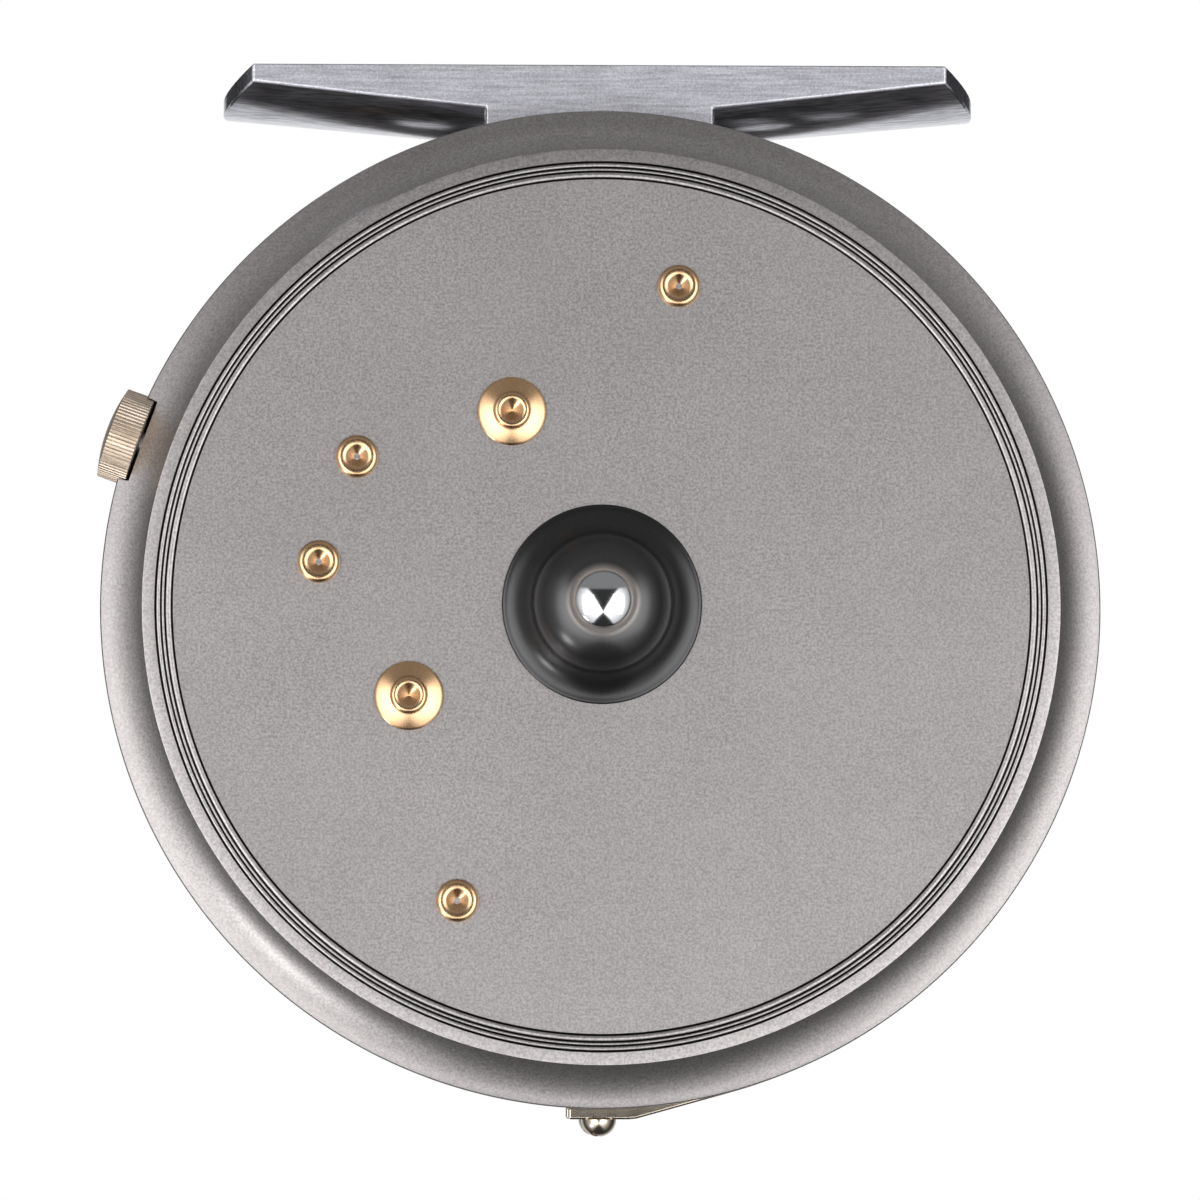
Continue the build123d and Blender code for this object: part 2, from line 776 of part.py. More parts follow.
# ---- Regulator ----
def knob():
    """Knurled knob, its inner face at Z = 0 and its crown outwards."""
    crown_sphere = (knob_radius**2 + knob_crown**2) / (2 * knob_crown)
    blank = Pos(0, 0, (knob_wall + knob_crown) / 2) * Cylinder(knob_radius, knob_wall + knob_crown)
    blank = blank & Pos(0, 0, knob_wall + knob_crown - crown_sphere) * Sphere(crown_sphere)
    half = math.pi * knob_radius / knurl_count
    cut = Polygon(
        (knob_radius - knurl_depth, 0), (knob_radius + knurl_depth, -half * 1.4), (knob_radius + knurl_depth, half * 1.4),
        align=None,
    )
    cutter = extrude(cut, knob_wall + knob_crown)
    cuts = [Rot(0, 0, 360 * n / knurl_count) * cutter for n in range(knurl_count)]
    hole = Cylinder(screw_radius + fit_gap, 2 * (knob_wall - knob_crown))
    return blank - cuts - hole


def regulator_knob():
    return spoke(check_angle) * Pos(knob_axis, 0, knob_seat_radius) * knob()


def regulator_screw():
    return radial_rod(
        screw_radius, screw_end, knob_seat_radius + knob_wall - knob_crown - fit_gap, knob_axis, check_angle
    )


def regulator_clip():
    outer = clip_seat() - side_gap
    inner = outer - screw_clip_wall
    solid = radial_rod(screw_clip_radius, inner, outer, knob_axis, check_angle)
    return solid - radial_rod(screw_radius + fit_gap, inner, outer, knob_axis, check_angle)


def regulator_guide():
    """Channel block that the slide runs in, held by two rivets."""
    length = guide_outer - guide_inner
    middle = (guide_outer + guide_inner) / 2
    block = Pos(middle, 0) * Rectangle(length, 2 * guide_half_width)
    channel = Pos(middle, 0) * Rectangle(length + 1, 2 * (channel_half_width + side_gap))
    solid = prism(block, floor_face, floor_face + guide_height, check_angle)
    solid = solid - prism(channel, floor_face + guide_base_wall, floor_face + guide_height + 1, check_angle)
    holes = [
        rod(
            shank_radius + fit_gap,
            floor_face - 1,
            floor_face + guide_height + 1,
            guide_rivet_distance,
            check_angle + side * guide_rivet_turn,
        )
        for side in (-1, 1)
    ]
    return solid - holes


def tension_slide():
    """T-shaped slide on the regulator screw; its bar bears on both leaf springs."""
    start = floor_face + guide_base_wall + slide_lift
    stem = Pos(slide_bar_inner + slide_bar_wall + slide_stem_length / 2 - 0.5, 0) * Rectangle(
        slide_stem_length + 1, 2 * channel_half_width
    )
    bar = Pos(slide_bar_inner + slide_bar_wall / 2, 0) * Rectangle(slide_bar_wall, 2 * slide_bar_half_length)
    solid = prism(stem, start, start + slide_height, check_angle)
    solid = solid + prism(bar, start, start + slide_bar_height, check_angle)
    thread = radial_rod(screw_radius + run_gap, slide_bar_inner - 1, guide_outer + screw_way_past_guide, knob_axis, check_angle)
    return solid - thread


# ---- Spool ----
def flange_holes(start, end, clear_of):
    """Rows of round holes, leaving out those too near a riveted piece at (distance, angle, radius)."""
    cuts = []
    for inset, radius, count, first in zip(hole_insets, hole_radii, hole_counts, hole_first_angles):
        distance = flange_radius - inset
        for n in range(count):
            angle = first + 360 * n / count
            place = polar(distance, angle)
            near = [
                math.dist(place, polar(other, turn)) < radius + size + hole_clearance
                for other, turn, size in clear_of
            ]
            if not any(near):
                cuts.append(rod(radius, start, end, distance, angle))
    return cuts


def spool_blank():
    lip = front_flange_front + flange_lip_wall
    inner = arbor_radius - arbor_wall
    boss_end = rear_flange_back + hub_boss_length
    bore = bush_radius + fit_gap
    return turned(
        *outline(
            (bore, rear_flange_back),
            (hub_boss_radius, rear_flange_back),
            (hub_boss_radius, boss_end),
            (hub_radius, boss_end),
            (hub_radius, front_flange_back),
            (inner, front_flange_back),
            (inner, rear_flange_back),
            (flange_radius, rear_flange_back),
            (flange_radius, rear_flange_back + rear_flange_wall),
            (arbor_radius, rear_flange_back + rear_flange_wall),
            (arbor_radius, front_flange_back),
            (flange_radius, front_flange_back),
            (flange_radius, lip),
            (flange_radius - flange_lip_width, lip),
            (flange_radius - flange_lip_width, front_flange_front),
            (latch_boss_radius, front_flange_front),
            (latch_boss_radius, latch_boss_front),
            (bore, latch_boss_front),
        )
    )


def latch_channel():
    """Way for the latch plate, open towards its pad."""
    length = latch_channel_end + latch_boss_radius + 1
    face = Pos((latch_boss_radius + 1 - latch_channel_end) / 2, 0) * Rectangle(
        length, 2 * (latch_half_width + side_gap)
    )
    return prism(face, latch_channel_floor, latch_boss_front + 1, latch_angle)


def screw_places(distance, count, first):
    return [(distance, first + 360 * n / count) for n in range(count)]


def latch_screw_places():
    return screw_places(latch_screw_distance, 2, latch_angle + 90)


def spool():
    front = front_flange_front + flange_lip_wall
    solid = spool_blank() - latch_channel()
    solid = solid - flange_holes(
        front_flange_back - 1,
        front + 1,
        ((handle_distance, handle_angle, handle_base_radius), (handle_distance, weight_angle, weight_radius)),
    )
    solid = solid - flange_holes(rear_flange_back - 1, rear_flange_back + rear_flange_wall + 1, ())
    cuts = [
        rod(handle_post_radius + fit_gap, front_flange_back - 1, front + 1, handle_distance, handle_angle),
        rod(weight_rivet_radius + fit_gap, front_flange_back - 1, front + 1, handle_distance, weight_angle),
    ]
    for place in screw_places(ratchet_screw_distance, 3, latch_angle):
        end = ratchet_back + ratchet_screw_length + fit_gap
        cuts.append(rod(ratchet_screw_radius + fit_gap, rear_flange_back - 1, end, *place))
    screw_end_face = latch_boss_front + latch_cover_wall - latch_screw_length - fit_gap
    for place in latch_screw_places():
        cuts.append(rod(latch_screw_radius + fit_gap, screw_end_face, latch_boss_front + 1, *place))
    return solid - cuts


def ratchet_wheel():
    """Toothed wheel behind the spool, with a gap between teeth facing the working pawl."""
    pitch = 360 / ratchet_teeth
    land = math.degrees(tooth_land / ratchet_radius)
    gap = math.degrees(gap_land / ratchet_root_radius)
    first = check_angle - pawl_turn
    points = []
    for n in range(ratchet_teeth):
        middle = first + n * pitch
        points += [polar(ratchet_root_radius, middle - gap / 2), polar(ratchet_root_radius, middle + gap / 2)]
        tooth = middle + pitch / 2
        points += [polar(ratchet_radius, tooth - land / 2), polar(ratchet_radius, tooth + land / 2)]
    wheel = prism(Polygon(*points, align=None), ratchet_back, rear_flange_back)
    cuts = [rod(bush_radius + fit_gap, ratchet_back - 1, rear_flange_back + 1)]
    for place in screw_places(ratchet_screw_distance, 3, latch_angle):
        head_seat = ratchet_back + ratchet_screw_head_wall + fit_gap
        cuts.append(rod(ratchet_screw_radius + fit_gap, ratchet_back - 1, rear_flange_back + 1, *place))
        cuts.append(rod(ratchet_screw_head_radius + fit_gap, ratchet_back - 1, head_seat, *place))
    return wheel - cuts


def ratchet_screws():
    start = ratchet_back
    head = rod(ratchet_screw_head_radius, start, start + ratchet_screw_head_wall)
    shank = rod(ratchet_screw_radius, start, start + ratchet_screw_length)
    slot = Pos(0, start, 0) * Box(2 * ratchet_screw_head_radius, 2 * slot_depth, slot_width)
    screw = head + shank - slot
    return Compound([standing(screw, *place) for place in screw_places(ratchet_screw_distance, 3, latch_angle)])


def rear_bush():
    flange_back = ratchet_back - bush_flange_wall
    body = ring(bush_radius, spindle_radius + run_gap, ratchet_back, ratchet_back + bush_length)
    return body + ring(bush_flange_radius, spindle_radius + run_gap, flange_back, ratchet_back)


def front_bush():
    end = latch_channel_floor - side_gap
    return ring(bush_radius, spindle_radius + run_gap, end - bush_length, end)


# ---- Latch ----
def latch_slide():
    """Keyhole plate that drops into the spindle's neck, with a ribbed pad to press."""
    pad_inner = latch_boss_radius + latch_travel + latch_pad_gap
    pad_outer = pad_inner + latch_pad_wall
    blank = Pos((pad_outer - latch_tail) / 2, 0) * Rectangle(pad_outer + latch_tail, 2 * latch_half_width)
    small = Circle(spindle_neck_radius + run_gap)
    large = Pos(latch_travel, 0) * Circle(spindle_radius + 2 * run_gap)
    plate = prism(blank - small - large, latch_face, latch_front, latch_angle)
    pad_face = Pos((pad_inner + pad_outer) / 2, 0) * Rectangle(latch_pad_wall, 2 * latch_half_width)
    pad = prism(pad_face, latch_face, latch_face + latch_pad_height, latch_angle)
    ribs = [
        prism(
            Pos(pad_outer, y) * Rot(0, 0, 45) * Rectangle(2 * latch_rib_depth, 2 * latch_rib_depth),
            latch_face - 1,
            latch_face + latch_pad_height + 1,
            latch_angle,
        )
        for y in (-2.4, -1.6, -0.8, 0.0, 0.8, 1.6, 2.4)
    ]
    return plate + pad - ribs


def latch_spring():
    """Coil spring between the plate's end and the end of its channel."""
    height = latch_channel_end - latch_tail - 2 * (spring_wire_radius + side_gap)
    path = Helix(pitch=height / spring_coils, height=height, radius=spring_coil_radius)
    wire = sweep(Plane(path @ 0, z_dir=path % 0) * Circle(spring_wire_radius), path=path)
    middle = (latch_channel_floor + latch_boss_front) / 2
    start = -latch_channel_end + spring_wire_radius + side_gap
    return spoke(latch_angle) * Pos(middle, 0, start) * wire


def latch_cover():
    front = latch_boss_front + latch_cover_wall
    solid = turned(
        *outline(
            (latch_cover_hole, latch_boss_front),
            (latch_boss_radius, latch_boss_front),
            (latch_boss_radius, front - latch_cover_bevel),
            (latch_boss_radius - latch_cover_bevel, front),
            (latch_cover_hole + latch_cover_bevel, front),
            (latch_cover_hole, front - latch_cover_bevel),
        )
    )
    seat = flat_head_seat(latch_screw_radius, latch_screw_head_radius, latch_screw_length, 1)
    seats = [standing(Pos(0, front, 0) * Rot(-90, 0, 0) * seat, *place) for place in latch_screw_places()]
    return solid - seats


def latch_screws():
    front = latch_boss_front + latch_cover_wall
    screw = flat_head_screw(latch_screw_radius, latch_screw_head_radius, latch_screw_length)
    return Compound(
        [standing(Pos(0, front, 0) * Rot(-90, 0, 0) * screw, *place) for place in latch_screw_places()]
    )


# ---- Handle and balance weight ----
def grip_start():
    return front_flange_front + handle_base_wall + handle_washer_wall + side_gap


def handle_post():
    """Riveted post that the grip turns on."""
    base_front = front_flange_front + handle_base_wall
    end = grip_start() + grip_length - grip_socket_depth + side_gap
    solid = turned(
        *outline(
            (0, front_flange_back - handle_rivet_wall),
            (handle_rivet_radius, front_flange_back - handle_rivet_wall),
            (handle_rivet_radius, front_flange_back),
            (handle_post_radius, front_flange_back),
            (handle_post_radius, front_flange_front),
            (handle_base_radius, front_flange_front),
            (handle_base_radius, base_front - weight_bevel / 2),
            (handle_base_radius - weight_bevel / 2, base_front),
            (handle_post_radius, base_front),
            (handle_post_radius, end),
            (0, end),
        )
    )
    thread = rod(handle_screw_radius + fit_gap, end - handle_screw_length - fit_gap, end + 1)
    return standing(solid - thread, handle_distance, handle_angle)


def handle_washer():
    start = front_flange_front + handle_base_wall
    return ring(
        handle_washer_radius,
        handle_post_radius + run_gap,
        start,
        start + handle_washer_wall,
        handle_distance,
        handle_angle,
    )


def handle_grip():
    """Turned grip, waisted near the spool and fullest near its end."""
    start = grip_start()
    end = start + grip_length
    bore = handle_post_radius + run_gap
    waist = (grip_waist_radius, start + grip_waist_share * grip_length)
    belly = (grip_belly_radius, start + grip_belly_share * grip_length)
    side = Spline((grip_base_radius, start), waist, belly, (grip_end_radius, end - 0.4))
    return standing(
        turned(
            side,
            Line((grip_end_radius, end - 0.4), (grip_end_radius - 0.4, end)),
            *Polyline(
                (grip_end_radius - 0.4, end),
                (grip_socket_radius, end),
                (grip_socket_radius, end - grip_socket_depth),
                (bore, end - grip_socket_depth),
                (bore, start),
                (grip_base_radius, start),
            ).edges(),
        ),
        handle_distance,
        handle_angle,
    )


def handle_screw():
    """Slotted screw whose head keeps the grip on its post."""
    seat = grip_start() + grip_length - grip_socket_depth + side_gap
    front = seat + handle_screw_head_wall
    head = rod(handle_screw_head_radius, seat, front)
    shank = rod(handle_screw_radius, seat - handle_screw_length, seat)
    slot = Pos(0, front, 0) * Box(2 * handle_screw_head_radius, 2 * slot_depth, slot_width)
    return standing(head + shank - slot, handle_distance, handle_angle)


def balance_weight():
    front = front_flange_front + weight_wall
    inner = weight_rivet_radius + fit_gap
    solid = turned(
        *outline(
            (inner, front_flange_front),
            (weight_radius, front_flange_front),
            (weight_radius, front - weight_bevel),
            (weight_radius - weight_bevel, front),
            (inner, front),
        )
    )
    return standing(solid, handle_distance, weight_angle)


def weight_rivet():
    back = front_flange_back
    front = front_flange_front + weight_wall
    head = weight_rivet_head_wall
    solid = rod(weight_rivet_radius, back - head, front + head / 2)
    solid = solid + rod(weight_rivet_head_radius, back - head, back)
    return standing(solid, handle_distance, weight_angle)


# ---- Nodes ----
UPPER, LOWER = check_angle - pawl_turn, check_angle + pawl_turn

NODES = {
    "frame": frame,
    "hub_boss": hub_boss,
    "spindle": spindle,
    "thrust_washer": thrust_washer,
    "reel_foot": reel_foot,
    "foot_screws": foot_screws,
    "line_guard": line_guard,
    "guard_screws": guard_screws,
    "pawl_post_upper": lambda: pawl_post(UPPER),
    "pawl_post_lower": lambda: pawl_post(LOWER),
    "post_washer_upper": lambda: post_washer(UPPER),
    "post_washer_lower": lambda: post_washer(LOWER),
    "spring_post_upper": lambda: spring_post(check_angle - spring_post_turn),
    "spring_post_lower": lambda: spring_post(check_angle + spring_post_turn),
    "guide_rivets": guide_rivets,
    "regulator_guide": regulator_guide,
    "click_spring_upper": lambda: click_spring(-1),
    "click_spring_lower": lambda: click_spring(1),
    "pawl_upper": lambda: pawl(UPPER, 0),
    "pawl_lower": lambda: pawl(LOWER, -spare_pawl_turn),
    "pawl_clips": pawl_clips,
    "tension_slide": tension_slide,
    "regulator_knob": regulator_knob,
    "regulator_screw": regulator_screw,
    "regulator_clip": regulator_clip,
    "spool": spool,
    "ratchet_wheel": ratchet_wheel,
    "ratchet_screws": ratchet_screws,
    "rear_bush": rear_bush,
    "front_bush": front_bush,
    "latch_slide": latch_slide,
    "latch_spring": latch_spring,
    "latch_cover": latch_cover,
    "latch_screws": latch_screws,
    "handle_post": handle_post,
    "handle_washer": handle_washer,
    "handle_grip": handle_grip,
    "handle_screw": handle_screw,
    "balance_weight": balance_weight,
    "weight_rivet": weight_rivet,
}

os.makedirs("parts", exist_ok=True)
for node, build in NODES.items():
    save(node, build())
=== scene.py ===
import bmesh
import bpy
import json
import math
from mathutils import Matrix, Vector


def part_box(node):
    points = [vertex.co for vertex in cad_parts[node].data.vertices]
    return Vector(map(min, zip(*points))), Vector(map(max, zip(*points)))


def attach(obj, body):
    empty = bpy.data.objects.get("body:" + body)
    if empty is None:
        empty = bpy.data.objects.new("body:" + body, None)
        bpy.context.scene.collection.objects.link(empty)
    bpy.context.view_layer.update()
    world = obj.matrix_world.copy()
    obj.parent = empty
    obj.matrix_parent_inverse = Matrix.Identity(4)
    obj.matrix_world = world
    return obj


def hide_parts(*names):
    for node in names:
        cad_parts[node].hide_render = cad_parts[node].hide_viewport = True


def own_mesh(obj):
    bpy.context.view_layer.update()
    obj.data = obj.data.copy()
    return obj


# Fly reel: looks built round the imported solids. Lengths written here are millimetres unless a name
# says otherwise, and are turned into metres where a mesh is made.

MM = 0.001
FULL_TURN = 2 * math.pi
SMOOTH_ANGLE = math.radians(32)

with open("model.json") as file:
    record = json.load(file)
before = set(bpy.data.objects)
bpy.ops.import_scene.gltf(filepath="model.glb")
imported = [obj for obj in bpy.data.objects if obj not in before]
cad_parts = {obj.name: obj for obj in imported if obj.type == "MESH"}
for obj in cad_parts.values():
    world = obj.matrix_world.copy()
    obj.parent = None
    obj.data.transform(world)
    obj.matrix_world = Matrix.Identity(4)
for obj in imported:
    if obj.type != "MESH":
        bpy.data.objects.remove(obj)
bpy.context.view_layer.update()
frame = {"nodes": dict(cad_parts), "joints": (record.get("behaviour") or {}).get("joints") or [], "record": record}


# ---- Places read from the solids ----
def box_mm(node):
    low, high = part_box(node)
    return low / MM, high / MM


def middle(node):
    low, high = box_mm(node)
    return (low + high) / 2


def middle_xz(node):
    """X and Z of a node's middle, as the centre of something turned."""
    centre = middle(node)
    return centre.x, centre.z


def round_box(node):
    """Radius of a turned node, and the Y of its back and of its front."""
    low, high = box_mm(node)
    return (high.x - low.x) / 2, low.y, high.y


FRAME_LOW, FRAME_HIGH = box_mm("frame")
SPOOL_LOW, SPOOL_HIGH = box_mm("spool")
AXIS_Z = (FRAME_LOW.z + FRAME_HIGH.z) / 2
SPOOL_AXIS = (0.0, AXIS_Z)
RIM, BACK, FRONT = round_box("frame")
KNOB = middle("regulator_knob")
KNOB_AXIS = next(Vector(joint["axis"]) for joint in frame["joints"] if joint["name"] == "regulator_turn")
KNOB_ANGLE = math.atan2(-KNOB_AXIS.z, -KNOB_AXIS.x)
GRIP = middle_xz("handle_grip")
WEIGHT = middle_xz("balance_weight")


def polar(distance, angle):
    """X and Z of a point at that distance from the spool's axis, with the angle in radians."""
    return distance * math.cos(angle), AXIS_Z + distance * math.sin(angle)


def at(x, y, z):
    """Matrix that moves a piece from the origin to that place."""
    return Matrix.Translation(Vector((x, y, z)) * MM)


PLATE_EDGE = RIM - 3.48
GROOVES = [PLATE_EDGE - inset for inset in (2.42, 1.87, 1.55, 1.12)]


# ---- Modelling tools ----
def clear_selection():
    if bpy.context.mode != "OBJECT":
        bpy.ops.object.mode_set(mode="OBJECT")
    bpy.ops.object.select_all(action="DESELECT")


def make_active(piece):
    clear_selection()
    piece.select_set(True)
    bpy.context.view_layer.objects.active = piece


def edit(piece):
    """Opens a piece in edit mode with nothing selected."""
    make_active(piece)
    bpy.ops.object.mode_set(mode="EDIT")
    bpy.ops.mesh.select_all(action="DESELECT")


def close_edit():
    bpy.ops.object.mode_set(mode="OBJECT")


def select_all():
    bpy.ops.mesh.select_all(action="SELECT")


def pick_vertices(piece, wanted):
    """Selects the vertices that pass the test, and what lies between them."""
    mesh = bmesh.from_edit_mesh(piece.data)
    mesh.verts.index_update()
    for vertex in mesh.verts:
        vertex.select = wanted(vertex)
    mesh.select_flush_mode()
    bmesh.update_edit_mesh(piece.data)


def draw_out(x, y, z):
    """Extrudes what is selected by that much."""
    bpy.ops.mesh.extrude_region_move(TRANSFORM_OT_translate={"value": (x * MM, y * MM, z * MM)})


def start_line(name, points):
    """A line of edges through the points, drawn by extruding one vertex from place to place."""
    clear_selection()
    bpy.ops.mesh.primitive_plane_add(size=MM)
    piece = bpy.context.object
    piece.name = piece.data.name = name
    bpy.ops.object.mode_set(mode="EDIT")
    bpy.ops.mesh.merge(type="CENTER")
    places = [Vector(point) * MM for point in points]
    bpy.ops.transform.translate(value=places[0])
    for before, after in zip(places, places[1:]):
        bpy.ops.mesh.extrude_vertices_move(TRANSFORM_OT_translate={"value": after - before})
    return piece


def start_face(name, points):
    piece = start_line(name, points)
    select_all()
    bpy.ops.mesh.edge_face_add()
    return piece


def join_ends(piece):
    """Closes an open line with one edge."""
    pick_vertices(piece, lambda vertex: len(vertex.link_edges) == 1)
    bpy.ops.mesh.edge_face_add()


def finish_edit():
    """Merges the vertices that fall together, turns every face outwards and leaves edit mode."""
    select_all()
    bpy.ops.mesh.remove_doubles(threshold=1e-7)
    bpy.ops.mesh.normals_make_consistent(inside=False)
    close_edit()


def turned(name, profile, centre=SPOOL_AXIS, steps=96):
    """Turns a profile of (radius, place along Y) round a line parallel to Y through the centre."""
    x, z = centre
    piece = start_line(name, [(x + radius, y, z) for radius, y in profile])
    if profile[0][0] > 0 or profile[-1][0] > 0:
        join_ends(piece)
    select_all()
    bpy.ops.mesh.spin(steps=steps, angle=FULL_TURN, center=(x * MM, 0, z * MM), axis=(0, 1, 0))
    finish_edit()
    return piece


def cylinder(name, radius, low, high, centre=SPOOL_AXIS, steps=96):
    """A plain cylinder round a line parallel to Y."""
    return turned(name, [(0, low), (radius, low), (radius, high), (0, high)], centre, steps)


def arc(start, end, bulge, count):
    """Points on an arc from start to end, both left out, bulging to the left of the way by that much."""
    (x0, y0), (x1, y1) = start, end
    chord = math.hypot(x1 - x0, y1 - y0)
    side = 1 if bulge >= 0 else -1
    radius = (chord**2 / 4 + bulge**2) / (2 * abs(bulge))
    half = math.asin(min(1.0, chord / (2 * radius)))
    along = ((x1 - x0) / chord, (y1 - y0) / chord)
    left = (-along[1] * side, along[0] * side)
    points = []
    for n in range(1, count):
        turn = -half + 2 * half * n / count
        forward = chord / 2 + radius * math.sin(turn)
        out = radius * math.cos(turn) - radius * math.cos(half)
        points.append((x0 + along[0] * forward + left[0] * out, y0 + along[1] * forward + left[1] * out))
    return points


def flowing(points, count):
    """Points on a smooth curve through the given points."""
    ends = [tuple(2 * a - b for a, b in zip(points[0], points[1]))]
    ends += points + [tuple(2 * a - b for a, b in zip(points[-1], points[-2]))]
    curve = []
    for near in zip(ends, ends[1:], ends[2:], ends[3:]):
        for n in range(count):
            curve.append(tuple(through(*values, n / count) for values in zip(*near)))
    return curve + [tuple(points[-1])]


def through(a, b, c, d, share):
    """Value at that share of the way from b to c, on a curve that a and d also shape."""
    slope, bend, twist = c - a, 2 * a - 5 * b + 4 * c - d, 3 * b - a - 3 * c + d
    return 0.5 * (2 * b + slope * share + bend * share**2 + twist * share**3)


def apply_modifier(piece, kind, **settings):
    make_active(piece)
    modifier = piece.modifiers.new(kind.title(), kind)
    for key, value in settings.items():
        setattr(modifier, key, value)
    bpy.ops.object.modifier_apply(modifier=modifier.name)


def smooth(piece, angle=SMOOTH_ANGLE):
    make_active(piece)
    bpy.ops.object.shade_smooth_by_angle(angle=angle)
    return piece


def soften(piece, width, segments=2, angle=28, clamp=True):
    """Rounds the edges sharper than the angle, in degrees, and keeps the flat faces flat."""
    smooth(piece)
    limits = {"limit_method": "ANGLE", "angle_limit": math.radians(angle), "use_clamp_overlap": clamp}
    apply_modifier(piece, "BEVEL", width=width * MM, segments=segments, harden_normals=True, **limits)
    return piece


def flat_faces(piece, angle=SMOOTH_ANGLE):
    """Smooths a piece so that its large flat faces keep their own shade right up to their edges."""
    smooth(piece, angle)
    apply_modifier(piece, "WEIGHTED_NORMAL", keep_sharp=True, weight=90)
    return piece


def cut(piece, cutter, operation="DIFFERENCE"):
    """Cuts, joins or trims a piece with the cutter, which is used up."""
    apply_modifier(piece, "BOOLEAN", object=cutter, operation=operation, solver="EXACT")
    bpy.data.objects.remove(cutter)
    return piece


def joined(name, pieces):
    clear_selection()
    for piece in pieces:
        piece.select_set(True)
    bpy.context.view_layer.objects.active = pieces[0]
    bpy.ops.object.join()
    pieces[0].name = pieces[0].data.name = name
    return pieces[0]


def copied(piece, turn=0.0):
    """A copy with its own mesh, turned about the spool's axis."""
    twin = piece.copy()
    twin.data = piece.data.copy()
    bpy.context.scene.collection.objects.link(twin)
    axis = Vector((0, 0, AXIS_Z)) * MM
    spin = Matrix.Translation(axis) @ Matrix.Rotation(turn, 4, "Y") @ Matrix.Translation(-axis)
    return settle(twin, spin)


def settle(piece, matrix):
    """Puts a piece in its place and keeps the place in its mesh."""
    piece.matrix_world = matrix
    make_active(piece)
    bpy.ops.object.transform_apply()
    return piece


def block(name, low, high):
    """A box between two corners."""
    clear_selection()
    size = [(b - a) * MM for a, b in zip(low, high)]
    centre = [(a + b) / 2 * MM for a, b in zip(low, high)]
    bpy.ops.mesh.primitive_cube_add(size=1, location=centre, scale=size)
    piece = bpy.context.object
    piece.name = piece.data.name = name
    bpy.ops.object.transform_apply()
    return piece


def along_spoke(angle):
    """Turns what was made round a line parallel to Y so that its Y runs outwards along the angle."""
    outwards = Vector((math.cos(angle), 0, math.sin(angle)))
    side = Vector((0, 1, 0))
    return Matrix((outwards.cross(side), outwards, side)).transposed().to_4x4()


# ---- Materials ----
class Reading:
    """One socket of a material's node tree, so that shader maths reads as Python."""

    def __init__(self, tree, socket=None):
        self.tree, self.socket = tree, socket

    def node(self, kind, settings=None, output=0, **sockets):
        """Adds a node. A socket's value or reading goes by its name or, as in n2, by its number."""
        made = self.tree.nodes.new(kind)
        for key, value in (settings or {}).items():
            setattr(made, key, value)
        for key, value in sockets.items():
            numbered = key[0] == "n" and key[1:].isdigit()
            socket = made.inputs[int(key[1:]) if numbered else key.replace("_", " ")]
            if isinstance(value, Reading):
                self.tree.links.new(value.socket, socket)
            else:
                socket.default_value = value
        return Reading(self.tree, made.outputs[output])

    def output(self, place):
        """Another output of the same node."""
        return Reading(self.tree, self.socket.node.outputs[place])

    def stepped(self, low, high, first=0.0, last=1.0):
        """Goes smoothly from first to last while this reading goes from low to high."""
        settings = {"interpolation_type": "SMOOTHSTEP"}
        return self.node("ShaderNodeMapRange", settings, n0=self, n1=low, n2=high, n3=first, n4=last)

    def maths(self, operation, *values):
        numbered = {f"n{place}": value for place, value in enumerate(values)}
        return self.node("ShaderNodeMath", {"operation": operation}, **numbered)

    def __add__(self, other):
        return self.maths("ADD", self, other)

    def __sub__(self, other):
        return self.maths("SUBTRACT", self, other)

    def __rsub__(self, other):
        return self.maths("SUBTRACT", other, self)

    def __mul__(self, other):
        return self.maths("MULTIPLY", self, other)

    def between(self, low, high):
        """This reading stretched so that 0 and 1 become low and high."""
        return self * (high - low) + low

    def mixed(self, first, second):
        """A colour that goes from first to second as this reading goes from 0 to 1."""
        return self.node("ShaderNodeMix", {"data_type": "RGBA"}, output=2, n0=self, n6=first, n7=second)


def colour(red, green, blue):
    """A colour given as screen values from 0 to 255, in the renderer's linear light."""
    linear = [((v / 255 + 0.055) / 1.055) ** 2.4 if v > 10 else v / 255 / 12.92 for v in (red, green, blue)]
    return (*linear, 1)


